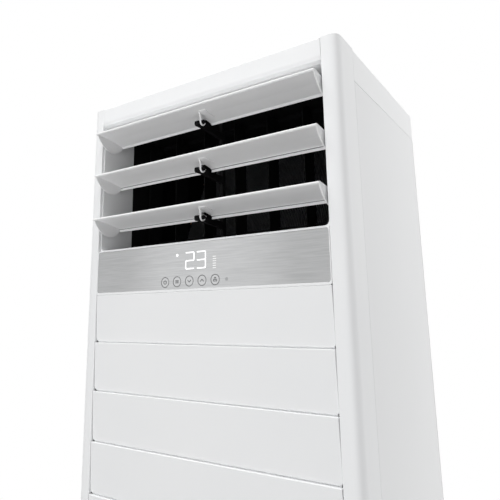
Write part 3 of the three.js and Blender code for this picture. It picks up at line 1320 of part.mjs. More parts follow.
addPiece('duct_partition', ductPartition(), zincSteel());
addPiece('blower_deck', blowerDeck(), zincSteel());
addPiece('scroll_rear', scrollRear(), zincSteel());
addPiece('scroll_front', scrollFront(), zincSteel());
const wheel = addPiece('blower_wheel', blowerWheel(), greyPlastic());
wheel.position.set(BLOWER_X, WHEEL_BACK, BLOWER_Z);
wheel.rotation.x = Math.PI / 2;
const motor = addPiece('fan_motor', fanMotor(), zincSteel());
motor.position.set(BLOWER_X, SCROLL_BACK + MOTOR_GAP, BLOWER_Z);
motor.rotation.x = Math.PI / 2;
addPiece('motor_bracket', motorBracket(), zincSteel());

addPiece('control_box', controlBox(), zincSteel());
addPiece('control_box_cover', controlBoxCover(), zincSteel());
addPiece('control_board', controlBoard(), board());

addPiece('fascia_frame', fasciaFrame(), whiteShell());
addPiece('fascia_plate', fasciaPlate(), brushedSilver());
addPiece('display_board', displayBoard(), board());
KEYS.forEach((name, i) => {
  const cap = addPiece(`key_${name}`, key(), brushedSilver());
  cap.position.set(keyX(i), FRONT + 0.6, KEY_Z);
  cap.rotation.x = Math.PI / 2;
});
addPiece('upper_panel', upperPanel(), whiteShell());
addPiece('cross_rail', crossRail(), zincSteel());
addPiece('intake_grille', intakeGrille(), whiteShell());
addPiece('air_filter_left', airFilter(-1), greyPlastic());
addPiece('air_filter_right', airFilter(1), greyPlastic());

addPiece('pipe_grommet', pipeGrommet(), rubber());
addPiece('cable_gland', cableGland(), rubber());
addPiece('wall_bracket', wallBracket(), zincSteel());

export default cabinet;
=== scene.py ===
"""Floor standing air conditioner: finishes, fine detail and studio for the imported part.

Everything is in metres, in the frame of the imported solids: +Z up, the front faces -Y,
and the origin lies on the floor under the middle of the cabinet.
"""

import math

import bmesh
import bpy
from mathutils import Matrix, Vector


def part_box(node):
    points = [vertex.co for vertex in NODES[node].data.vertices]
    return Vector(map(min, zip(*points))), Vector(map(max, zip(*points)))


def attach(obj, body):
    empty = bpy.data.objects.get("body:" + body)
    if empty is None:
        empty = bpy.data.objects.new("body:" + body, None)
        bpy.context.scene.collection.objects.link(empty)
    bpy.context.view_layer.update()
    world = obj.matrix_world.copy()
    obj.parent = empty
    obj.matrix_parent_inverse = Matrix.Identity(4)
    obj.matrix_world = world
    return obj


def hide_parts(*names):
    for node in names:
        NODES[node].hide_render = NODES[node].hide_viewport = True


bl_info = {
    "name": "Floor Standing Air Conditioner",
    "version": (1, 0, 0),
    "blender": (4, 5, 0),
    "location": "3D View > Sidebar > Conditioner",
    "description": "Dresses a floor standing air conditioner in its finishes and fine detail",
    "category": "Object",
}

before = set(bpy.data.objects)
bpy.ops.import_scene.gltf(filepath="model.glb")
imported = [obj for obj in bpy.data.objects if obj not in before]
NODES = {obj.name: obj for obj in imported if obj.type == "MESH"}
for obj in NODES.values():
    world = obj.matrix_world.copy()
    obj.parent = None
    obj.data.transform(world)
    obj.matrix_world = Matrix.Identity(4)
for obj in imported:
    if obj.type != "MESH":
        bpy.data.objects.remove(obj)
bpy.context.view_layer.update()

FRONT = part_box("pillar_left")[0].y  # the cabinet's front plane
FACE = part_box("fascia_plate")[0].y  # front face of the silver plate


# ---- Shader sums ----------------------------------------------------------------------


class Term:
    """One socket of a material, so that sums of masks and textures read as Python."""

    def __init__(self, surface, socket):
        self.surface = surface
        self.socket = socket

    def sum(self, operation, first, second):
        return self.surface.add("ShaderNodeMath", {"operation": operation}, {0: first, 1: second})

    def __add__(self, other):
        return self.sum("ADD", self, other)

    def __radd__(self, other):
        return self.sum("ADD", other, self)

    def __sub__(self, other):
        return self.sum("SUBTRACT", self, other)

    def __rsub__(self, other):
        return self.sum("SUBTRACT", other, self)

    def __mul__(self, other):
        return self.sum("MULTIPLY", self, other)


class Surface:
    """A material that is built from its finish outwards."""

    def __init__(self, name, **constants):
        self.material = bpy.data.materials.new(name)
        self.material.use_nodes = True
        self.nodes = self.material.node_tree.nodes
        self.links = self.material.node_tree.links
        self.shader = self.nodes["Principled BSDF"]
        for socket, value in constants.items():
            self.shader.inputs[socket.replace("_", " ")].default_value = value

    def add(self, kind, settings=None, values=None, output=0):
        """Adds a node, with its settings first, and gives one of its outputs as a Term."""
        node = self.nodes.new(kind)
        for name, value in (settings or {}).items():
            if name == "stops":
                self.set_stops(node.color_ramp, value)
            else:
                setattr(node, name, value)
        for socket, value in (values or {}).items():
            if isinstance(value, Term):
                self.links.new(value.socket, node.inputs[socket])
            else:
                node.inputs[socket].default_value = value
        return Term(self, node.outputs[output])

    @staticmethod
    def set_stops(ramp, stops):
        while len(ramp.elements) < len(stops):
            ramp.elements.new(0.5)
        for element, (place, colour) in zip(ramp.elements, stops):
            element.position = place
            element.color = (*colour, 1)

    def place(self, stretch=(1, 1, 1)):
        """Position on the object in metres, stretched along its axes."""
        where = self.add("ShaderNodeTexCoord", output=3)
        return self.add("ShaderNodeVectorMath", {"operation": "MULTIPLY"}, {0: where, 1: stretch})

    def noise(self, scale, stretch=(1, 1, 1), detail=3.0, roughness=0.55):
        return self.add("ShaderNodeTexNoise", None, {
            "Vector": self.place(stretch), "Scale": scale, "Detail": detail, "Roughness": roughness,
        })

    def cells(self, scale, output=0):
        return self.add("ShaderNodeTexVoronoi", None, {
            "Vector": self.place(), "Scale": scale,
        }, output)

    def axis(self, letter):
        where = self.add("ShaderNodeTexCoord", output=3)
        return self.add("ShaderNodeSeparateXYZ", None, {0: where}, "XYZ".index(letter))

    def between(self, value, low, high):
        """0 below low and 1 above high, with a soft step between."""
        return self.add("ShaderNodeMapRange", {"interpolation_type": "SMOOTHSTEP"}, {
            "Value": value, "From Min": low, "From Max": high, "To Min": 0.0, "To Max": 1.0,
        })

    def blend(self, share, first, second):
        first, second = (c if isinstance(c, Term) else (*c, 1) for c in (first, second))
        return self.add("ShaderNodeMix", {"data_type": "RGBA"}, {0: share, 6: first, 7: second}, 2)

    def bump(self, height, distance, strength=1.0):
        return self.add("ShaderNodeBump", None, {
            "Height": height, "Distance": distance, "Strength": strength,
        })

    def feed(self, **inputs):
        """Links what varies over the surface to the shader."""
        for socket, term in inputs.items():
            self.links.new(term.socket, self.shader.inputs[socket.replace("_", " ")])
        return self.material


# ---- Finishes -------------------------------------------------------------------------


def moulding(name, colour, shade, roughness=0.36, grain=0.00002):
    """Moulded plastic: a fine spark-eroded grain, and a tone that drifts a little."""
    skin = Surface(name, Specular_IOR_Level=0.4)
    drift = skin.noise(2.2, detail=2)
    fine = skin.noise(1400, detail=2)
    return skin.feed(
        Base_Color=skin.blend(skin.between(drift, 0.35, 0.65), colour, shade),
        Roughness=roughness + (drift - 0.5) * 0.12 + (fine - 0.5) * 0.08,
        Normal=skin.bump(fine, grain),
    )


def powder_coat(name, colour, shade):
    """Powder coated sheet steel, with the coat's orange peel."""
    coat = Surface(name, Specular_IOR_Level=0.45)
    peel = coat.noise(420, detail=2)
    drift = coat.noise(1.6, detail=2)
    return coat.feed(
        Base_Color=coat.blend(coat.between(drift, 0.35, 0.65), colour, shade),
        Roughness=0.34 + (peel - 0.5) * 0.15,
        Normal=coat.bump(peel, 0.00006),
    )


def zinc_sheet(name):
    """Hot dipped sheet: spangles that each catch the light in their own way."""
    sheet = Surface(name)
    spangle = sheet.cells(85, output=1)
    tone = sheet.add("ShaderNodeSeparateColor", None, {0: spangle})
    smear = sheet.noise(9, (1, 1, 0.4), detail=5)
    return sheet.feed(
        Base_Color=sheet.blend(tone * 0.75 + smear * 0.3, (0.40, 0.42, 0.44), (0.66, 0.68, 0.70)),
        Metallic=0.94 - smear * 0.12,
        Roughness=0.34 + tone * 0.16 + smear * 0.08,
        Normal=sheet.bump(smear, 0.0002, 0.3),
    )


def matt_black(name):
    """Black moulded plastic, dull so that the outlet reads as a dark hollow."""
    skin = Surface(name, Specular_IOR_Level=0.12)
    dust = skin.noise(38, detail=5)
    fine = skin.noise(1600, detail=2)
    return skin.feed(
        Base_Color=skin.blend(
            skin.between(dust, 0.5, 0.8), (0.0035, 0.0035, 0.0038), (0.007, 0.007, 0.0075),
        ),
        Roughness=0.72 + (fine - 0.5) * 0.2,
        Normal=skin.bump(fine, 0.00003),
    )


def foam(name):
    """Closed cell insulation with pitted pores."""
    sponge = Surface(name, Specular_IOR_Level=0.05)
    pores = sponge.cells(330)
    lumps = sponge.noise(40, detail=4)
    return sponge.feed(
        Base_Color=sponge.blend(
            sponge.between(pores, 0.1, 0.6), (0.0022, 0.0022, 0.0024), (0.006, 0.006, 0.0065),
        ),
        Roughness=0.9 - lumps * 0.1,
        Normal=sponge.bump(pores + lumps, 0.0006, 0.8),
    )


def brushed_metal(name, dark, light, roughness=0.36):
    """Aluminium brushed from side to side, in long streaks, with a painted reflection that darkens
    it to its ends.
    """
    plate = Surface(name)
    hair = plate.noise(1, (12, 1, 2600), detail=3)
    streak = plate.noise(1, (16, 1, 430), detail=4, roughness=0.65)
    haze = plate.noise(5, (1, 1, 3), detail=2)
    brush = hair * 0.4 + streak * 0.6
    tone = plate.between(brush + (haze - 0.5) * 0.15, 0.36, 0.64)
    # painted reflection: away from x = 0.015 m the colour is painted darker, down to 78 % by 0.2 m
    # either side, for the studio's uneven reflection in the plate
    aside = plate.axis("X") - 0.015
    dull = tuple(c * 0.78 for c in dark), tuple(c * 0.78 for c in light)
    return plate.feed(
        # painted reflection: blends to the painted darker copy towards the plate's ends
        Base_Color=plate.blend(
            plate.between(aside * aside, 0, 0.04),
            plate.blend(tone, dark, light), plate.blend(tone, *dull),
        ),
        Metallic=0.9 + haze * 0.08,
        Roughness=roughness + (brush - 0.5) * 0.3,
        Normal=plate.bump(brush, 0.00003, 0.5),
    )


def drawn_copper(name):
    """Drawn copper tube, browned where it has been handled and brazed."""
    tube = Surface(name)
    stain = tube.noise(26, detail=6)
    draw = tube.noise(1, (900, 900, 12), detail=2)
    return tube.feed(
        Base_Color=tube.blend(
            tube.between(stain, 0.42, 0.7), (0.72, 0.36, 0.22), (0.34, 0.15, 0.09),
        ),
        Metallic=0.97 - stain * 0.15,
        Roughness=0.26 + stain * 0.25 + (draw - 0.5) * 0.1,
        Normal=tube.bump(draw, 0.00003, 0.4),
    )


def brazed_bends(name, sheet_from):
    """Copper return bends, brazed into a zinc coated tube sheet that starts at sheet_from."""
    bends = Surface(name)
    stain = bends.noise(26, detail=6)
    sheet = bends.between(bends.axis("X"), sheet_from - 0.0001, sheet_from)
    copper = bends.blend(bends.between(stain, 0.42, 0.7), (0.62, 0.30, 0.19), (0.32, 0.14, 0.09))
    return bends.feed(
        Base_Color=bends.blend(sheet, copper, (0.07, 0.073, 0.076)),
        Metallic=0.95 - stain * 0.15,
        Roughness=0.3 + stain * 0.25,
        Normal=bends.bump(stain, 0.0001, 0.4),
    )


def fin_aluminium(name):
    """Thin hydrophilic coated fin stock, its colour painted darker as painted shade for the inside
    of the outlet.
    """
    fin = Surface(name, Specular_IOR_Level=0.3)
    film = fin.noise(60, detail=4)
    ripple = fin.noise(1, (40, 500, 500), detail=2)
    return fin.feed(
        # painted shade: these fin colours are darker than bare fin stock, for the shade deep in the
        # outlet
        Base_Color=fin.blend(film, (0.16, 0.165, 0.17), (0.24, 0.245, 0.25)),
        Metallic=0.35 + film * 0.2,
        Roughness=0.42 + (ripple - 0.5) * 0.2,
        Normal=fin.bump(ripple, 0.0001, 0.4),
    )


def soft_rubber(name):
    """Black rubber with a bloom on it."""
    rubber = Surface(name, Specular_IOR_Level=0.25)
    bloom = rubber.noise(70, detail=5)
    return rubber.feed(
        Base_Color=rubber.blend(bloom, (0.012, 0.012, 0.012), (0.030, 0.030, 0.031)),
        Roughness=0.62 + bloom * 0.2,
        Normal=rubber.bump(bloom, 0.0002, 0.4),
    )


def filter_weave(name):
    """Woven filter net: crossed threads with open squares between them."""
    net = Surface(name, Specular_IOR_Level=0.2)
    cross, up = (
        net.add("ShaderNodeTexWave", {"bands_direction": way}, {
            "Vector": net.place(), "Scale": 105.0,
        })
        for way in ("X", "Z")
    )
    threads = net.add("ShaderNodeMath", {"operation": "MAXIMUM"}, {0: cross, 1: up})
    dust = net.noise(30, detail=5)
    return net.feed(
        Base_Color=net.blend(dust, (0.05, 0.052, 0.055), (0.11, 0.11, 0.108)),
        Roughness=0.6 + dust * 0.2,
        Alpha=net.between(threads, 0.62, 0.72),
        Normal=net.bump(threads, 0.0002, 0.6),
    )


def circuit_board(name):
    """Green solder mask over tracks, with bare pads here and there."""
    mask = Surface(name, Specular_IOR_Level=0.5)
    tracks = mask.add("ShaderNodeTexBrick", {"offset": 0.37, "squash": 1.6}, {
        "Vector": mask.place(), "Scale": 60.0, "Mortar Size": 0.03, "Mortar Smooth": 0.2,
    }, 1)
    pads = mask.between(mask.cells(260), 0.12, 0.09)
    green = mask.blend(tracks, (0.010, 0.085, 0.035), (0.018, 0.15, 0.06))
    return mask.feed(
        Base_Color=mask.blend(pads, green, (0.55, 0.50, 0.40)),
        Metallic=pads * 0.9,
        Roughness=0.32 + tracks * 0.12,
        Normal=mask.bump(tracks + pads, 0.00006, 0.6),
    )


def lit_segment(name, colour, strength):
    """A lit segment behind its diffuser, brightest in the middle of the chip's glow."""
    lamp = Surface(name, Roughness=0.5, Emission_Strength=strength)
    glow = lamp.noise(420, detail=2)
    dim = tuple(c * 0.86 for c in colour)
    return lamp.feed(
        Base_Color=lamp.blend(glow, colour, dim),
        Emission_Color=lamp.blend(lamp.between(glow, 0.3, 0.7), dim, colour),
    )


def printed_ink(name, colour):
    """Screen printed ink, a little uneven over the brushed plate."""
    ink = Surface(name, Specular_IOR_Level=0.3)
    speck = ink.noise(1500, detail=3)
    lighter = tuple(min(c * 1.35, 1) for c in colour)
    return ink.feed(
        Base_Color=ink.blend(speck, colour, lighter),
        Roughness=0.5 + speck * 0.15,
        Normal=ink.bump(speck, 0.00001),
    )


FINISHES = {
    "white_moulding": lambda n: moulding(n, (0.86, 0.865, 0.87), (0.84, 0.847, 0.855)),
    "white_louver": lambda n: moulding(n, (0.85, 0.855, 0.86), (0.83, 0.837, 0.845), 0.42),
    "white_powder": lambda n: powder_coat(n, (0.82, 0.825, 0.83), (0.80, 0.806, 0.812)),
    "zinc_sheet": zinc_sheet,
    "matt_black": matt_black,
    "foam": foam,
    "brushed_plate": lambda n: brushed_metal(n, (0.52, 0.525, 0.53), (0.62, 0.625, 0.63)),
    "brushed_key": lambda n: brushed_metal(n, (0.55, 0.555, 0.56), (0.64, 0.645, 0.65), 0.32),
    "grey_moulding": lambda n: moulding(n, (0.20, 0.205, 0.21), (0.17, 0.175, 0.18), 0.5, 0.00004),
    "copper": drawn_copper,
    "fin_aluminium": fin_aluminium,
    "rubber": soft_rubber,
    "filter_weave": filter_weave,
    "brazed_bends": lambda n: brazed_bends(n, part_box("evaporator_coil")[0].x - 0.0022),
    # painted shadow: dark strips laid in the louvers' creases, made with the ink finish
    "crease_line": lambda n: printed_ink(n, (0.13, 0.133, 0.137)),
    "circuit_board": circuit_board,
}


def finish(name):
    """The named finish, made the first time that a piece asks for it."""
    return bpy.data.materials.get(name) or FINISHES[name](name)


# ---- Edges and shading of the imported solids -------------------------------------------

FACET_ANGLE = 0.4  # degrees between facets that count as one flat face
SOLID_EDGE_ANGLE = 42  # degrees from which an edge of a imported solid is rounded
CREASE_ANGLE = 48  # degrees from which an edge stays crisp in the shading
WELD_DISTANCE = 0.00001


def shading_group(name, build):
    """A geometry group with one geometry in and one out."""
    if name in bpy.data.node_groups:
        return bpy.data.node_groups[name]
    group = bpy.data.node_groups.new(name, "GeometryNodeTree")
    for way in ("INPUT", "OUTPUT"):
        group.interface.new_socket("Geometry", in_out=way, socket_type="NodeSocketGeometry")
    start, end = group.nodes.new("NodeGroupInput"), group.nodes.new("NodeGroupOutput")
    group.links.new(build(group, start.outputs[0]), end.inputs[0])
    return group


def weld_facets(group, geometry):
    """Joins the facets' corners and lets the shading run over them."""
    plain = group.nodes.new("GeometryNodeRemoveAttribute")
    plain.inputs["Name"].default_value = "custom_normal"
    merge = group.nodes.new("GeometryNodeMergeByDistance")
    merge.inputs["Distance"].default_value = WELD_DISTANCE
    smooth = group.nodes.new("GeometryNodeSetShadeSmooth")
    group.links.new(geometry, plain.inputs[0])
    group.links.new(plain.outputs[0], merge.inputs[0])
    group.links.new(merge.outputs[0], smooth.inputs[0])
    return smooth.outputs[0]


def keep_creases(group, geometry):
    """Keeps an edge crisp where two faces meet at more than the crease angle."""
    angle = group.nodes.new("GeometryNodeInputMeshEdgeAngle")
    over = group.nodes.new("FunctionNodeCompare")
    over.inputs[1].default_value = math.radians(CREASE_ANGLE)
    crease = group.nodes.new("GeometryNodeSetShadeSmooth")
    crease.domain = "EDGE"
    crease.inputs["Shade Smooth"].default_value = False
    group.links.new(angle.outputs[0], over.inputs[0])
    group.links.new(geometry, crease.inputs[0])
    group.links.new(over.outputs[0], crease.inputs["Selection"])
    return crease.outputs[0]


def round_over(piece, width, steps, angle):
    """Rounds the edges where two faces meet at more than angle, in degrees."""
    over = piece.modifiers.new("round_over", "BEVEL")
    over.limit_method = "ANGLE"
    over.angle_limit = math.radians(angle)
    over.width = width
    over.segments = steps


def shade_evenly(piece):
    """Keeps the creases crisp and lets the shading follow the broad faces."""
    crease = piece.modifiers.new("crease", "NODES")
    crease.node_group = shading_group("keep_creases", keep_creases)
    even = piece.modifiers.new("even", "WEIGHTED_NORMAL")
    even.keep_sharp = True


def soften(piece, edge, steps=2):
    """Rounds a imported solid's sharp edges by edge, in metres, and shades its curves evenly."""
    weld = piece.modifiers.new("weld", "NODES")
    weld.node_group = shading_group("weld_facets", weld_facets)
    flat = piece.modifiers.new("flat", "DECIMATE")
    flat.decimate_type = "DISSOLVE"
    flat.angle_limit = math.radians(FACET_ANGLE)
    if edge:
        round_over(piece, edge, steps, SOLID_EDGE_ANGLE)
    shade_evenly(piece)


def dress(names, finish_name, edge=0.0004, steps=2):
    """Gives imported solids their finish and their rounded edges."""
    for name in names:
        solid = NODES[name]
        solid.data.materials.clear()
        solid.data.materials.append(finish(finish_name))
        soften(solid, edge, steps)


# ---- Making small pieces --------------------------------------------------------------


def piece_from(name, form, material, body):
    """A mesh object from a bmesh, riding on a body."""
    mesh = bpy.data.meshes.new(name)
    bmesh.ops.recalc_face_normals(form, faces=form.faces)
    form.to_mesh(mesh)
    form.free()
    piece = bpy.data.objects.new(name, mesh)
    bpy.context.scene.collection.objects.link(piece)
    mesh.materials.append(material)
    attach(piece, body)
    return piece


def box_into(form, low, high):
    """Adds a closed box between two corners."""
    made = bmesh.ops.create_cube(form, size=1)["verts"]
    middle = (Vector(low) + Vector(high)) / 2
    size = Vector(high) - Vector(low)
    for v in made:
        v.co = Vector(v.co[i] * size[i] + middle[i] for i in range(3))


def slab(form, outline, near, far):
    """Adds a closed plate: near and far turn a point of its outline into a place."""
    face = [form.verts.new(near(*p)) for p in outline]
    back = [form.verts.new(far(*p)) for p in outline]
    form.faces.new(face)
    form.faces.new(list(reversed(back)))
    for i in range(len(outline)):
        j = (i + 1) % len(outline)
        form.faces.new((face[i], back[i], back[j], face[j]))


def frame_ring(form, outer, inner, near, far):
    """Adds a closed ring between two outlines with equally many points."""
    rings = [[form.verts.new(put(*p)) for p in line]
             for put, line in ((near, outer), (near, inner), (far, inner), (far, outer))]
    for a, b in zip(rings, rings[1:] + rings[:1]):
        for i in range(len(outer)):
            j = (i + 1) % len(outer)
            form.faces.new((a[i], a[j], b[j], b[i]))


def screw_into(form, centre, out, radius):
    """Adds a pan head screw with a cross recess, its head rising along out."""
    centre, out = Vector(centre), Vector(out)
    across = out.orthogonal().normalized()
    up = out.cross(across)
    profile = [  # reach and rise, as shares of the radius, from the rim to the recess
        (1, 0), (1, 0.22), (0.86, 0.42), (0.62, 0.52), (0.34, 0.55), (0.30, 0.2), (0.05, 0.1),
    ]
    sides = 32
    rings = []
    for share, rise in profile:
        ring = []
        for i in range(sides):
            turn = math.tau * i / sides
            reach = share * (1 if share > 0.4 else 0.5 + 0.8 * abs(math.cos(2 * turn)) ** 6)
            side = across * math.cos(turn) + up * math.sin(turn)
            ring.append(form.verts.new(centre + side * radius * reach + out * radius * rise))
        rings.append(ring)
    for low, high in zip(rings, rings[1:]):
        for i in range(sides):
            j = (i + 1) % sides
            form.faces.new((low[i], low[j], high[j], high[i]))
    form.faces.new(rings[-1])
    form.faces.new(list(reversed(rings[0])))


def on_front(y):
    """Turns a point of a drawing into a place on the upright plane at y."""
    return lambda across, up: (across, y, up)


def arc(a, b, radius, start, stop, steps):
    """Points on an arc, its angles in degrees."""
    angles = [math.radians(start + (stop - start) * i / steps) for i in range(steps + 1)]
    return [(a + radius * math.cos(t), b + radius * math.sin(t)) for t in angles]


def rounded_box(left, right, low, high, low_radius, high_radius, steps=6):
    """Outline of a box with rounded corners, anticlockwise from its lower right one."""
    outline = []
    for a, b, radius, start in (
        (right, low, low_radius, 270), (right, high, high_radius, 0),
        (left, high, high_radius, 90), (left, low, low_radius, 180),
    ):
        centre_a = a - math.copysign(radius, a - (left + right) / 2)
        centre_b = b - math.copysign(radius, b - (low + high) / 2)
        outline += arc(centre_a, centre_b, radius, start, start + 90, steps)
    return outline


def rounded_path(points, radius, closed=False, steps=5):
    """A line of points with its corners rounded."""
    count = len(points)
    path = []
    for i, here in enumerate(points):
        corner = Vector(here)
        if not closed and i in (0, count - 1):
            path.append(corner)
            continue
        before, after = Vector(points[i - 1]), Vector(points[(i + 1) % count])
        start = corner + (before - corner).normalized() * radius
        end = corner + (after - corner).normalized() * radius
        for k in range(steps + 1):
            t = k / steps
            path.append(start * (1 - t) ** 2 + corner * 2 * t * (1 - t) + end * t * t)
    return path


def stroke(form, points, width, near, far, closed=False):
    """Adds a ribbon of even width along a line of points."""
    path = [Vector(p) for p in points]
    count = len(path)
    left, right = [], []
    for i, here in enumerate(path):
        before = path[i - 1] if i or closed else here
        after = path[(i + 1) % count] if i < count - 1 or closed else here
        into, out = (here - before), (after - here)
        along = (into.normalized() + out.normalized()).normalized()
        turn = into.normalized().dot(out.normalized()) if into.length and out.length else 1
        across = Vector((-along.y, along.x)) * width / 2 / max(math.sqrt((1 + turn) / 2), 0.5)
        left.append(here + across)
        right.append(here - across)
    rings = [[form.verts.new(put(*p)) for p in side]
             for put, side in ((near, left), (near, right), (far, right), (far, left))]
    for i in range(count if closed else count - 1):
        j = (i + 1) % count
        for a, b in zip(rings, rings[1:] + rings[:1]):
            form.faces.new((a[i], a[j], b[j], b[i]))
    if not closed:
        form.faces.new([r[0] for r in rings])
        form.faces.new([r[-1] for r in reversed(rings)])


def round_edges(piece, radius, steps=3, angle=35):
    """Rounds the edges of a piece of the scene's own."""
    round_over(piece, radius, steps, angle)
    shade_evenly(piece)
    for face in piece.data.polygons:
        face.use_smooth = True


# ---- Settings -------------------------------------------------------------------------


def length_setting(name, default, description):
    return bpy.props.FloatProperty(
        name=name, default=default, description=description, unit="LENGTH",
    )


def angle_setting(name, degrees, description):
    return bpy.props.FloatProperty(
        name=name, default=math.radians(degrees), description=description, subtype="ANGLE",
    )


def amount_setting(name, default, description, least=0):
    return bpy.props.FloatProperty(
        name=name, default=default, description=description, min=least,
    )


def count_setting(name, default, description, least=1, most=12):
    return bpy.props.IntProperty(
        name=name, default=default, description=description, min=least, max=most,
    )


def colour_setting(name, default, description):
    return bpy.props.FloatVectorProperty(
        name=name, default=default, description=description, subtype="COLOR", min=0, max=1,
    )


class FasciaSettings(bpy.types.PropertyGroup):
    """What the control fascia shows."""

    reading: count_setting("Reading", 23, "Degrees that the display shows", 10, 99)
    digit_height: length_setting("Digit Height", 0.0315, "Height of the lit digits")
    digit_width: length_setting("Digit Width", 0.0212, "Width of one digit")
    digit_line: length_setting("Digit Line", 0.0018, "Width of a digit's lines")
    level_bars: count_setting("Level Bars", 6, "Bars beside the digits")
    trim_top: length_setting("Trim Top", 0.0015, "White trim over the silver plate")
    trim_side: length_setting("Trim Side", 0.0018, "White trim beside the silver plate")
    trim_foot: length_setting("Trim Foot", 0.0036, "White trim under the silver plate")
    symbol_size: length_setting("Symbol Size", 0.0078, "Width of the symbols on the keys")
    ring_colour: colour_setting(
        "Ring Colour", (0.16, 0.163, 0.167), "Colour of the rings printed round the keys",
    )
    lit_colour: colour_setting("Lit Colour", (1.0, 1.0, 1.0), "Colour of the lit segments")
    lit_strength: amount_setting("Lit Strength", 1.0, "How brightly the segments glow")
    ink_colour: colour_setting(
        "Ink Colour", (0.055, 0.057, 0.060), "Colour of the symbols printed on the keys",
    )


class CasingSettings(bpy.types.PropertyGroup):
    """Edges of the casing, and the planks of its upper front."""

    edge: length_setting("Edge Radius", 0.0012, "Rounding of the casing's moulded edges")
    planks: count_setting("Planks", 6, "Planks on the upper front")
    plank_pitch: length_setting("Plank Pitch", 0.0947, "Height from one plank to the next")
    plank_gap: length_setting("Plank Gap", 0.002, "Open line between two planks")
    plank_rake: length_setting(
        "Plank Rake", 0.0045, "How far a plank's face falls back to its lower edge",
    )
    plank_corner: length_setting("Plank Corner", 0.006, "Radius of a plank's lower corners")
    screw_radius: length_setting("Screw Radius", 0.0038, "Head radius of the rear panel's screws")


class OutletSettings(bpy.types.PropertyGroup):
    """Pieces in the air outlet."""

    louver_tilt: angle_setting("Louver Tilt", 9, "Tilt of the louvers as they stand")
    lip_height: length_setting("Lip Height", 0.0054, "Height of the lip under a louver's rear edge")
    fin_pitch: length_setting("Fin Pitch", 0.0042, "Distance from one fin to the next")
    fin_thick: length_setting("Fin Thickness", 0.0005, "Thickness of one fin")
    coil_lean: angle_setting("Coil Lean", 26, "How far the coil leans back from upright")


class StageSettings(bpy.types.PropertyGroup):
    """Lamps, floor and camera."""

    ambient: amount_setting("Ambient", 0.10, "Strength of the even light all round")
    left_lamp: amount_setting("Left Lamp", 19.6, "Power of the lamp in front on the left")
    low_lamp: amount_setting("Low Lamp", 42.5, "Power of the low lamp in front")
    side_lamp: amount_setting("Side Lamp", 17.8, "Power of the lamp on the right")
    rear_lamp: amount_setting("Rear Lamp", 82.7, "Power of the lamp behind on the right")
    top_lamp: amount_setting("Top Lamp", 89.2, "Power of the lamp overhead")
    floor_colour: colour_setting("Floor Colour", (0.86, 0.86, 0.86), "Colour of the studio floor")
    lens: amount_setting("Lens", 35.53, "Focal length of the camera, in millimetres", 1)


# ---- Casing ---------------------------------------------------------------------------

PLANK_SIDES = (0.0001, 0.0008)  # open lines to the left and the right of the planks
PLANK_THICK = 0.003  # where a plank's face lies deepest
PLANK_TOP_CORNER = 0.0012
BACKING_INSET = 0.003  # plate behind the planks, from their edges
BACKING_OVERLAP = 0.0006
SCREW_ROWS = 5
SCREW_INSET = (0.010, 0.012)  # from the rear panel's sides, and from its top and foot


class FinishCasing(bpy.types.Operator):
    """Finishes the casing: the moulded front, the coated sides and back, and the floor pan"""

    bl_idname = "conditioner.finish_casing"
    bl_label = "Finish Casing"

    def execute(self, context):
        settings = context.scene.conditioner_casing
        edge = settings.edge
        dress(
            ["header_panel", "pillar_left", "pillar_right", "top_cover"], "white_moulding", edge, 3,
        )
        dress(["upper_panel", "intake_grille", "kick_plate"], "white_moulding", edge * 0.5, 3)
        dress(["side_panel_left", "side_panel_right", "rear_panel"], "white_powder", edge * 0.5)
        dress(["base_pan", "cross_rail", "wall_bracket"], "zinc_sheet")
        dress(["pipe_grommet", "cable_gland"], "rubber")
        self.planks(settings)
        self.screws(settings)
        return {"FINISHED"}

    def planks(self, settings):
        """The front's raked planks on one plate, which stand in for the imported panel."""
        low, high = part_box("upper_panel")
        left, right = low.x + PLANK_SIDES[0], high.x - PLANK_SIDES[1]
        behind = FRONT + settings.plank_rake + PLANK_THICK
        form = bmesh.new()
        for i in range(settings.planks):
            top = high.z - i * settings.plank_pitch
            last = i == settings.planks - 1
            bottom = low.z if last else top - settings.plank_pitch + settings.plank_gap
            fall = settings.plank_rake / (top - bottom)
            outline = rounded_box(
                left, right, bottom, top, settings.plank_corner, PLANK_TOP_CORNER,
            )
            slab(
                form, outline,
                lambda across, up: (across, FRONT + (top - up) * fall, up),
                lambda across, up: (across, behind, up),
            )
        inset = BACKING_INSET
        box_into(
            form, (left + inset, behind - BACKING_OVERLAP, low.z + inset),
            (right - inset, high.y, high.z - inset),
        )
        front = piece_from("front_planks", form, finish("white_moulding"), "cabinet")
        round_edges(front, 0.0014, 4)
        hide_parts("upper_panel")

    def screws(self, settings):
        low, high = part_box("rear_panel")
        form = bmesh.new()
        aside, above = SCREW_INSET
        for i in range(SCREW_ROWS):
            z = low.z + above + (high.z - low.z - 2 * above) * i / (SCREW_ROWS - 1)
            for x in (low.x + aside, high.x - aside):
                screw_into(form, (x, high.y - 0.0004, z), (0, 1, 0), settings.screw_radius)
        heads = piece_from("rear_screws", form, finish("zinc_sheet"), "cabinet")
        round_edges(heads, 0.0001, 1)


# ---- Air outlet -----------------------------------------------------------------------

LOUVER_PIVOT_Y = -0.203
LOUVERS = (("upper_louver", 1.7645), ("middle_louver", 1.67), ("lower_louver", 1.5755))
UPPER_LIP = 0.0016  # the upper louver shows next to no lip
LIP_REACH = (0.0344, 0.0358)  # behind the pivot, along the blade
# painted shadow strip on the blade's underside in front of the rear lip, behind the pivot
SHADOW_STRIP_REACH = (0.0316, 0.0343)
BLADE_UNDER = 0.0127  # from the pivot up to the blade's underside
COIL_THICK = 0.038
COIL_SPAN = 0.318
COIL_FOOT_Y = -0.020
COIL_MARGIN = 0.001  # from the coil's ends to its first and last fin


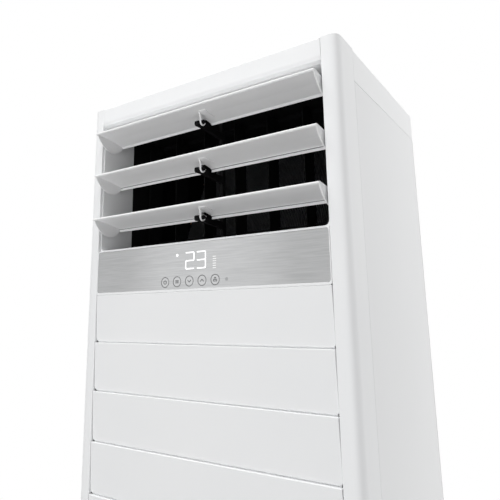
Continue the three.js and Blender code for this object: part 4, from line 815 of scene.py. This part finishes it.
class FinishOutlet(bpy.types.Operator):
    """Finishes the air outlet: its frame, louvers, vanes, coil and what drives them"""

    bl_idname = "conditioner.finish_outlet"
    bl_label = "Finish Outlet"

    def execute(self, context):
        settings = context.scene.conditioner_outlet
        dress(["outlet_frame"], "white_moulding", 0.0006, 3)
        dress(["louver_1", "louver_2", "louver_3"], "white_louver", 0.0004)
        dress(["vane_frame", "louver_support", "vane_link"], "matt_black")
        dress([f"vane_{i}" for i in range(1, 8)], "matt_black", 0.0003)
        dress(["louver_link", "louver_motor", "vane_motor"], "grey_moulding")
        dress(["plenum_liner"], "foam", 0.001)
        for number, (body, pivot) in enumerate(LOUVERS, 1):
            self.louver_trim(settings, number, body, pivot)
        self.fins(settings)
        self.header_roll()
        return {"FINISHED"}

    def louver_trim(self, settings, number, body, pivot):
        """Rear lip, clip pad and painted crease shadows of one louver, set about its pivot."""
        tilt = settings.louver_tilt
        has_deep_lip = number > 1
        lip = settings.lip_height if has_deep_lip else UPPER_LIP

        def on_blade(x):
            return lambda aft, rise: (
                x, LOUVER_PIVOT_Y + aft * math.cos(tilt) + rise * math.sin(tilt),
                pivot - aft * math.sin(tilt) + rise * math.cos(tilt),
            )

        form = bmesh.new()
        section = rounded_box(*LIP_REACH, BLADE_UNDER - lip, BLADE_UNDER, 0.0005, 0.0003, 3)
        for left, right in ((-0.2615, -0.0172), (-0.0028, 0.2615)):
            slab(form, section, on_blade(left), on_blade(right))
        pad = rounded_box(-0.018, 0.013, 0.0132, 0.0148, 0.0008, 0.0003, 3)
        slab(form, pad, on_blade(0.0040), on_blade(0.0200))
        white = finish("white_louver")
        round_edges(piece_from(f"louver_lip_{number}", form, white, body), 0.0003)
        # painted shadow: dark strips along the end plate's crease and, on the lower louvers, in
        # front of the rear lip, where shade falls
        form = bmesh.new()
        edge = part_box(f"louver_{number}")[0].x + 0.0025
        line = [(-0.037, 0.0136), (0.0, 0.0149), (0.033, 0.0132)]
        stroke(form, rounded_path(line, 0.010), 0.0012, on_blade(edge), on_blade(edge + 0.00015))
        if has_deep_lip:
            shadow_strip = rounded_box(*SHADOW_STRIP_REACH, 0.01235, BLADE_UNDER, 0.0001, 0.0001, 1)
            for left, right in ((-0.2610, -0.0174), (-0.0026, 0.2610)):
                slab(form, shadow_strip, on_blade(left), on_blade(right))
        piece_from(f"louver_crease_{number}", form, finish("crease_line"), body)

    def fins(self, settings):
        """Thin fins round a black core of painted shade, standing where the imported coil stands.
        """
        low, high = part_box("evaporator_coil")
        thick, span, lean = COIL_THICK, COIL_SPAN, settings.coil_lean
        foot_z = high.z - span * math.cos(lean)
        run = high.x - low.x - 2 * COIL_MARGIN

        def on_coil(x):
            return lambda deep, up: (
                x, COIL_FOOT_Y + deep * math.cos(lean) + up * math.sin(lean),
                foot_z - deep * math.sin(lean) + up * math.cos(lean),
            )

        form = bmesh.new()
        fin = rounded_box(0.0002, thick - 0.0002, 0.0004, span - 0.0004, 0.001, 0.001, 2)
        count = int(run / settings.fin_pitch)
        for i in range(count + 1):
            x = low.x + COIL_MARGIN + (run - settings.fin_thick) * i / count
            slab(form, fin, on_coil(x), on_coil(x + settings.fin_thick))
        fins = piece_from("coil_fins", form, finish("fin_aluminium"), "cabinet")
        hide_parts("evaporator_coil")
        # painted shade: a black slab inside the fin pack, put where the coil's inside shows only
        # shade
        form = bmesh.new()
        shade_slab = rounded_box(0.004, thick - 0.004, 0.002, span - 0.002, 0.002, 0.002, 2)
        slab(form, shade_slab, on_coil(low.x + 0.0012), on_coil(high.x - 0.0012))
        piece_from("coil_core", form, finish("matt_black"), "cabinet")

    def header_roll(self):
        """Carries the header's rolled edge on to the outlet, over the frame's top edge."""
        low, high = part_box("header_panel")
        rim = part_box("outlet_frame")[0].y
        form = bmesh.new()
        z = low.z + 0.0002
        left, right = low.x + 0.0004, high.x - 0.0004
        section = [
            (rim - 0.0095, z), (rim - 0.0006, z), (rim - 0.0006, z - 0.0030),
            (rim - 0.0040, z - 0.0016),
        ]
        slab(form, section, lambda y, up: (left, y, up), lambda y, up: (right, y, up))
        roll = piece_from("header_roll", form, finish("white_moulding"), "cabinet")
        round_edges(roll, 0.0006, 3, 12)


# ---- Inside ---------------------------------------------------------------------------


class FinishInside(bpy.types.Operator):
    """Finishes what stands inside: coil, pipes, blower, motor, filters and control box"""

    bl_idname = "conditioner.finish_inside"
    bl_label = "Finish Inside"

    def execute(self, context):
        dress(["evaporator_coil"], "fin_aluminium", 0)
        dress(["coil_bends"], "brazed_bends", 0)
        dress(["gas_pipe", "liquid_pipe"], "copper", 0)
        dress(["drain_pan"], "matt_black", 0.0008)
        dress(["drain_hose"], "rubber", 0)
        dress([
            "blower_deck", "duct_partition", "scroll_front", "scroll_rear", "pipe_bracket",
            "motor_bracket", "fan_motor", "control_box", "control_box_cover",
        ], "zinc_sheet", 0.0003)
        dress(["blower_wheel"], "grey_moulding", 0.0003)
        for side in ("left", "right"):
            self.filter_net(f"air_filter_{side}")
        dress(["control_board", "display_board"], "circuit_board", 0.0002)
        return {"FINISHED"}

    def filter_net(self, name):
        """One filter's frame, and the net inside it."""
        dress([name], "grey_moulding", 0.0004)
        inset = 0.004
        low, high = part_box(name)
        y = (low.y + high.y) / 2
        form = bmesh.new()
        outline = rounded_box(
            low.x + inset, high.x - inset, low.z + inset, high.z - inset, 0.003, 0.003,
        )
        slab(form, outline, on_front(y - 0.0008), on_front(y - 0.0006))
        piece_from(f"{name}_net", form, finish("filter_weave"), name)


# ---- Control fascia -------------------------------------------------------------------

KEYS = ["power", "mode", "down", "up", "fan"]
PRINT_TOP, PRINT_FOOT = 0.00017, 0.00005  # print and lit segments, out from what carries them
DIGITS_X = (-0.0252, 0.0012)
DIGITS_FOOT = 1.47855
BARS_X = (0.0378, 0.0452)
BARS_FOOT, BARS_SPAN, BAR_LINE = 1.4779, 0.0244, 0.0015
MARK_MIDDLE, MARK_REACH, MARK_LINE = (-0.0450, 1.5060), 0.0028, 0.0009
RING_INSET, RING_LINE, SYMBOL_LINE = 0.0007, 0.0009, 0.00115
RECEIVER_X, RECEIVER_RADIUS = 0.0676, 0.0031
FIGURES = {  # lines through a grid of two columns and three rows, each with whether it closes
    "0": [("02 12 10 00", True)], "1": [("12 10", False)], "2": [("02 12 11 01 00 10", False)],
    "3": [("02 12 10 00", False), ("01 11", False)], "4": [("02 01 11", False), ("12 10", False)],
    "5": [("12 02 01 11 10 00", False)], "6": [("12 02 00 10 11 01", False)],
    "7": [("02 12 10", False)], "8": [("02 12 10 00", True), ("01 11", False)],
    "9": [("11 01 02 12 10 00", False)],
}


def print_planes(y):
    """Front and back of what is printed or lit on the upright plane at y."""
    return on_front(y - PRINT_TOP), on_front(y - PRINT_FOOT)


def figure_lines(figure, x, z, width, height):
    """Lines of a segment figure whose lower left corner is at x, z, as (points, closed)."""
    for spots, closed in FIGURES[figure]:
        points = [(x + width * int(s[0]), z + height * int(s[1]) / 2) for s in spots.split()]
        yield rounded_path(points, width * 0.11, closed), closed


def symbol_lines(key, x, z, r):
    """Lines of the symbol on a key whose middle is at x, z, as (points, closed)."""
    if key == "power":
        stem = [(x, z + r * 0.1), (x, z + r * 1.15)]
        return [(arc(x, z, r * 0.85, 125, 415, 20), False), (stem, False)]
    if key == "mode":
        return [([(x - r * w, z + r * t), (x + r * w, z + r * t)], False)
                for w, t in ((1, -0.55), (1, 0), (1, 0.55))]
    if key in ("down", "up"):
        lift = r * 0.5 if key == "up" else -r * 0.5
        return [([(x - r, z - lift), (x, z + lift), (x + r, z - lift)], False)]
    lines = [(arc(x, z, r * 0.18, 0, 324, 9), True)]
    for turn in (90, 210, 330):
        a = math.radians(turn)
        out = (x + r * 0.66 * math.cos(a), z + r * 0.66 * math.sin(a))
        lines.append((arc(*out, r * 0.42, turn - 125, turn + 125, 12), False))
    return lines


class BuildFascia(bpy.types.Operator):
    """Finishes the control fascia and adds its trim, lit figures, level bars and key symbols"""

    bl_idname = "conditioner.build_fascia"
    bl_label = "Build Fascia"

    def execute(self, context):
        settings = context.scene.conditioner_fascia
        dress(["fascia_frame"], "white_moulding", 0.0005, 3)
        dress(["fascia_plate"], "brushed_plate", 0.0002)
        dress([f"key_{k}" for k in KEYS], "brushed_key", 0.0004, 3)
        self.trim(settings)
        self.figures(settings)
        self.keys(settings)
        return {"FINISHED"}

    def trim(self, settings):
        """White ring round the silver plate."""
        low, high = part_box("fascia_frame")
        side = settings.trim_side
        radius = 0.004
        form = bmesh.new()
        frame_ring(
            form, rounded_box(low.x, high.x, low.z - 0.0008, high.z, radius, radius),
            rounded_box(
                low.x + side, high.x - side, low.z + settings.trim_foot, high.z - settings.trim_top,
                radius, radius,
            ),
            on_front(FRONT), on_front(FACE + 0.0003),
        )
        ring = piece_from("fascia_trim", form, finish("white_moulding"), "cabinet")
        round_edges(ring, 0.0004)

    def figures(self, settings):
        """The lit reading, the bars beside it and the mark before it."""
        near, far = print_planes(FACE)
        lit = lit_segment("lit_segment", tuple(settings.lit_colour), settings.lit_strength)
        faint = lit_segment("faint_segment", (0.70, 0.70, 0.70), settings.lit_strength * 0.45)
        line = settings.digit_line
        height, width = settings.digit_height - line, settings.digit_width - line
        form = bmesh.new()
        foot = DIGITS_FOOT + line / 2
        for figure, x in zip(str(settings.reading), DIGITS_X):
            for points, closed in figure_lines(figure, x + line / 2, foot, width, height):
                stroke(form, points, line, near, far, closed)
        piece_from("display_figures", form, lit, "cabinet")
        form = bmesh.new()
        for i in range(settings.level_bars):
            z = BARS_FOOT + i * BARS_SPAN / settings.level_bars
            stroke(form, [(x, z) for x in BARS_X], BAR_LINE, near, far)
        piece_from("level_bars", form, faint, "cabinet")
        form = bmesh.new()
        middle = Vector(MARK_MIDDLE)
        for turn in map(math.radians, (30, 90, 150)):
            reach = Vector((math.cos(turn), math.sin(turn))) * MARK_REACH
            stroke(form, [middle - reach, middle + reach], MARK_LINE, near, far)
        piece_from("cooling_mark", form, lit, "cabinet")

    def keys(self, settings):
        """Symbol and ring on each key, and the receiver's pane beside them."""
        ink = printed_ink("key_ink", tuple(settings.ink_colour))
        ring_ink = printed_ink("ring_ink", tuple(settings.ring_colour))
        for key in KEYS:
            low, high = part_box(f"key_{key}")
            x, z = (low.x + high.x) / 2, (low.z + high.z) / 2
            near, far = print_planes(low.y)
            form = bmesh.new()
            for points, closed in symbol_lines(key, x, z, settings.symbol_size / 2):
                stroke(form, points, SYMBOL_LINE, near, far, closed)
            piece_from(f"symbol_{key}", form, ink, f"key_{key}")
            form = bmesh.new()
            radius = (high.x - low.x) / 2 - RING_INSET
            stroke(form, arc(x, z, radius, 0, 352.5, 47), RING_LINE, near, far, True)
            piece_from(f"ring_{key}", form, ring_ink, f"key_{key}")
        low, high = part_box("key_fan")
        pane = printed_ink("receiver_pane", (0.34, 0.345, 0.35))
        form = bmesh.new()
        outline = arc(RECEIVER_X, (low.z + high.z) / 2, RECEIVER_RADIUS, 0, 345, 23)
        slab(form, outline, on_front(FACE - 0.0001), on_front(FACE + 0.0008))
        piece_from("receiver_pane", form, pane, "cabinet")


# ---- Studio ---------------------------------------------------------------------------

LAMPS = {  # place, target and size
    "left_lamp": ((-1.6, -3.0, 2.6), (0, -0.2, 1.2), 2.4),
    "low_lamp": ((0.3, -3.4, 0.6), (0, -0.2, 1.5), 2.0),
    "side_lamp": ((3.4, -0.4, 1.6), (0.2, 0, 1.2), 2.0),
    "rear_lamp": ((2.6, 2.4, 2.4), (0.2, 0, 1.2), 2.0),
    "top_lamp": ((0, -1.2, 4.2), (0, -0.2, 1.4), 2.4),
}
FLOOR_RADIUS = 2.6
FLOOR_FADE = (0.7, 2.2)  # where the floor starts to thin out, and where it is gone
CAMERA_SENSOR = 36  # millimetres
CAMERA_SHIFT = (0.0063, -0.0776)
CAMERA_PLACE = (0.56587, -0.92300, 1.40410)
CAMERA_AXES = (  # right, up and back, each as one row
    (0.83821, 0.54505, -0.01794),
    (0.12133, -0.15432, 0.98054),
    (0.53168, -0.82408, -0.19549),
)


class SetStage(bpy.types.Operator):
    """Sets the floor, lamps, world and camera for the photograph's view"""

    bl_idname = "conditioner.set_stage"
    bl_label = "Set Stage"

    def execute(self, context):
        settings = context.scene.conditioner_stage
        self.floor(settings)
        self.world(context, settings)
        for name, (place, target, size) in LAMPS.items():
            self.lamp(name, place, target, size, getattr(settings, name))
        self.camera(context, settings)
        context.scene.view_settings.view_transform = "Standard"
        return {"FINISHED"}

    def floor(self, settings):
        form = bmesh.new()
        bmesh.ops.create_circle(form, cap_ends=True, segments=96, radius=FLOOR_RADIUS)
        mesh = bpy.data.meshes.new("floor")
        form.to_mesh(mesh)
        form.free()
        floor = bpy.data.objects.new("floor", mesh)
        bpy.context.scene.collection.objects.link(floor)
        paint = Surface("floor", Roughness=0.9, Specular_IOR_Level=0.0)
        grain = paint.noise(3, detail=2)
        colour = tuple(settings.floor_colour)
        where = paint.add("ShaderNodeTexCoord", output=3)
        reach = paint.add("ShaderNodeVectorMath", {"operation": "LENGTH"}, {0: where}, 1)
        paint.feed(
            Base_Color=paint.blend(grain, colour, tuple(c * 0.99 for c in colour)),
            Alpha=1 - paint.between(reach, *FLOOR_FADE),
        )
        mesh.materials.append(paint.material)

    def world(self, context, settings):
        world = bpy.data.worlds.new("studio")
        context.scene.world = world
        world.use_nodes = True
        nodes, links = world.node_tree.nodes, world.node_tree.links
        nodes.clear()
        light, seen = nodes.new("ShaderNodeBackground"), nodes.new("ShaderNodeBackground")
        light.inputs["Strength"].default_value = settings.ambient
        seen.inputs["Color"].default_value = light.inputs["Color"].default_value = (1, 1, 1, 1)
        path = nodes.new("ShaderNodeLightPath")
        share = path.outputs["Is Camera Ray"]
        for kind in ("Is Glossy Ray", "Is Transmission Ray"):
            either = nodes.new("ShaderNodeMath")
            either.operation = "MAXIMUM"
            links.new(share, either.inputs[0])
            links.new(path.outputs[kind], either.inputs[1])
            share = either.outputs[0]
        mix, end = nodes.new("ShaderNodeMixShader"), nodes.new("ShaderNodeOutputWorld")
        for source, socket in ((share, 0), (light.outputs[0], 1), (seen.outputs[0], 2)):
            links.new(source, mix.inputs[socket])
        links.new(mix.outputs[0], end.inputs["Surface"])

    def lamp(self, name, place, target, size, power):
        light = bpy.data.lights.new(name, "AREA")
        light.shape = "DISK"
        light.size = size
        light.energy = power
        lamp = bpy.data.objects.new(name, light)
        bpy.context.scene.collection.objects.link(lamp)
        lamp.location = place
        lamp.visible_glossy = False
        lamp.rotation_euler = (Vector(target) - Vector(place)).to_track_quat("-Z", "Y").to_euler()

    def camera(self, context, settings):
        data = bpy.data.cameras.new("camera")
        data.lens = settings.lens
        data.sensor_width = CAMERA_SENSOR
        data.shift_x, data.shift_y = CAMERA_SHIFT
        camera = bpy.data.objects.new("camera", data)
        context.scene.collection.objects.link(camera)
        turn = Matrix(CAMERA_AXES).transposed().to_4x4()
        camera.matrix_world = Matrix.Translation(CAMERA_PLACE) @ turn
        context.scene.camera = camera


# ---- Panel and running ----------------------------------------------------------------

STEPS = (FinishCasing, FinishOutlet, FinishInside, BuildFascia, SetStage)
SETTINGS = {
    "conditioner_casing": CasingSettings,
    "conditioner_outlet": OutletSettings,
    "conditioner_fascia": FasciaSettings,
    "conditioner_stage": StageSettings,
}


class ConditionerPanel(bpy.types.Panel):
    """Lists the steps and their settings in the sidebar"""

    bl_idname = "VIEW3D_PT_conditioner"
    bl_label = "Air Conditioner"
    bl_space_type = "VIEW_3D"
    bl_region_type = "UI"
    bl_category = "Conditioner"

    def draw(self, context):
        for step in STEPS:
            self.layout.operator(step.bl_idname)
        for name, group in SETTINGS.items():
            box = self.layout.box()
            for setting in group.__annotations__:
                box.prop(getattr(context.scene, name), setting)


def register():
    for kind in (*SETTINGS.values(), *STEPS, ConditionerPanel):
        bpy.utils.register_class(kind)
    for name, group in SETTINGS.items():
        setattr(bpy.types.Scene, name, bpy.props.PointerProperty(type=group))


def unregister():
    for name in SETTINGS:
        delattr(bpy.types.Scene, name)
    for kind in reversed((*SETTINGS.values(), *STEPS, ConditionerPanel)):
        bpy.utils.unregister_class(kind)


def main():
    register()
    for step in STEPS:
        group, name = step.bl_idname.split(".")
        getattr(getattr(bpy.ops, group), name)()


if __name__ == "__main__":
    main()
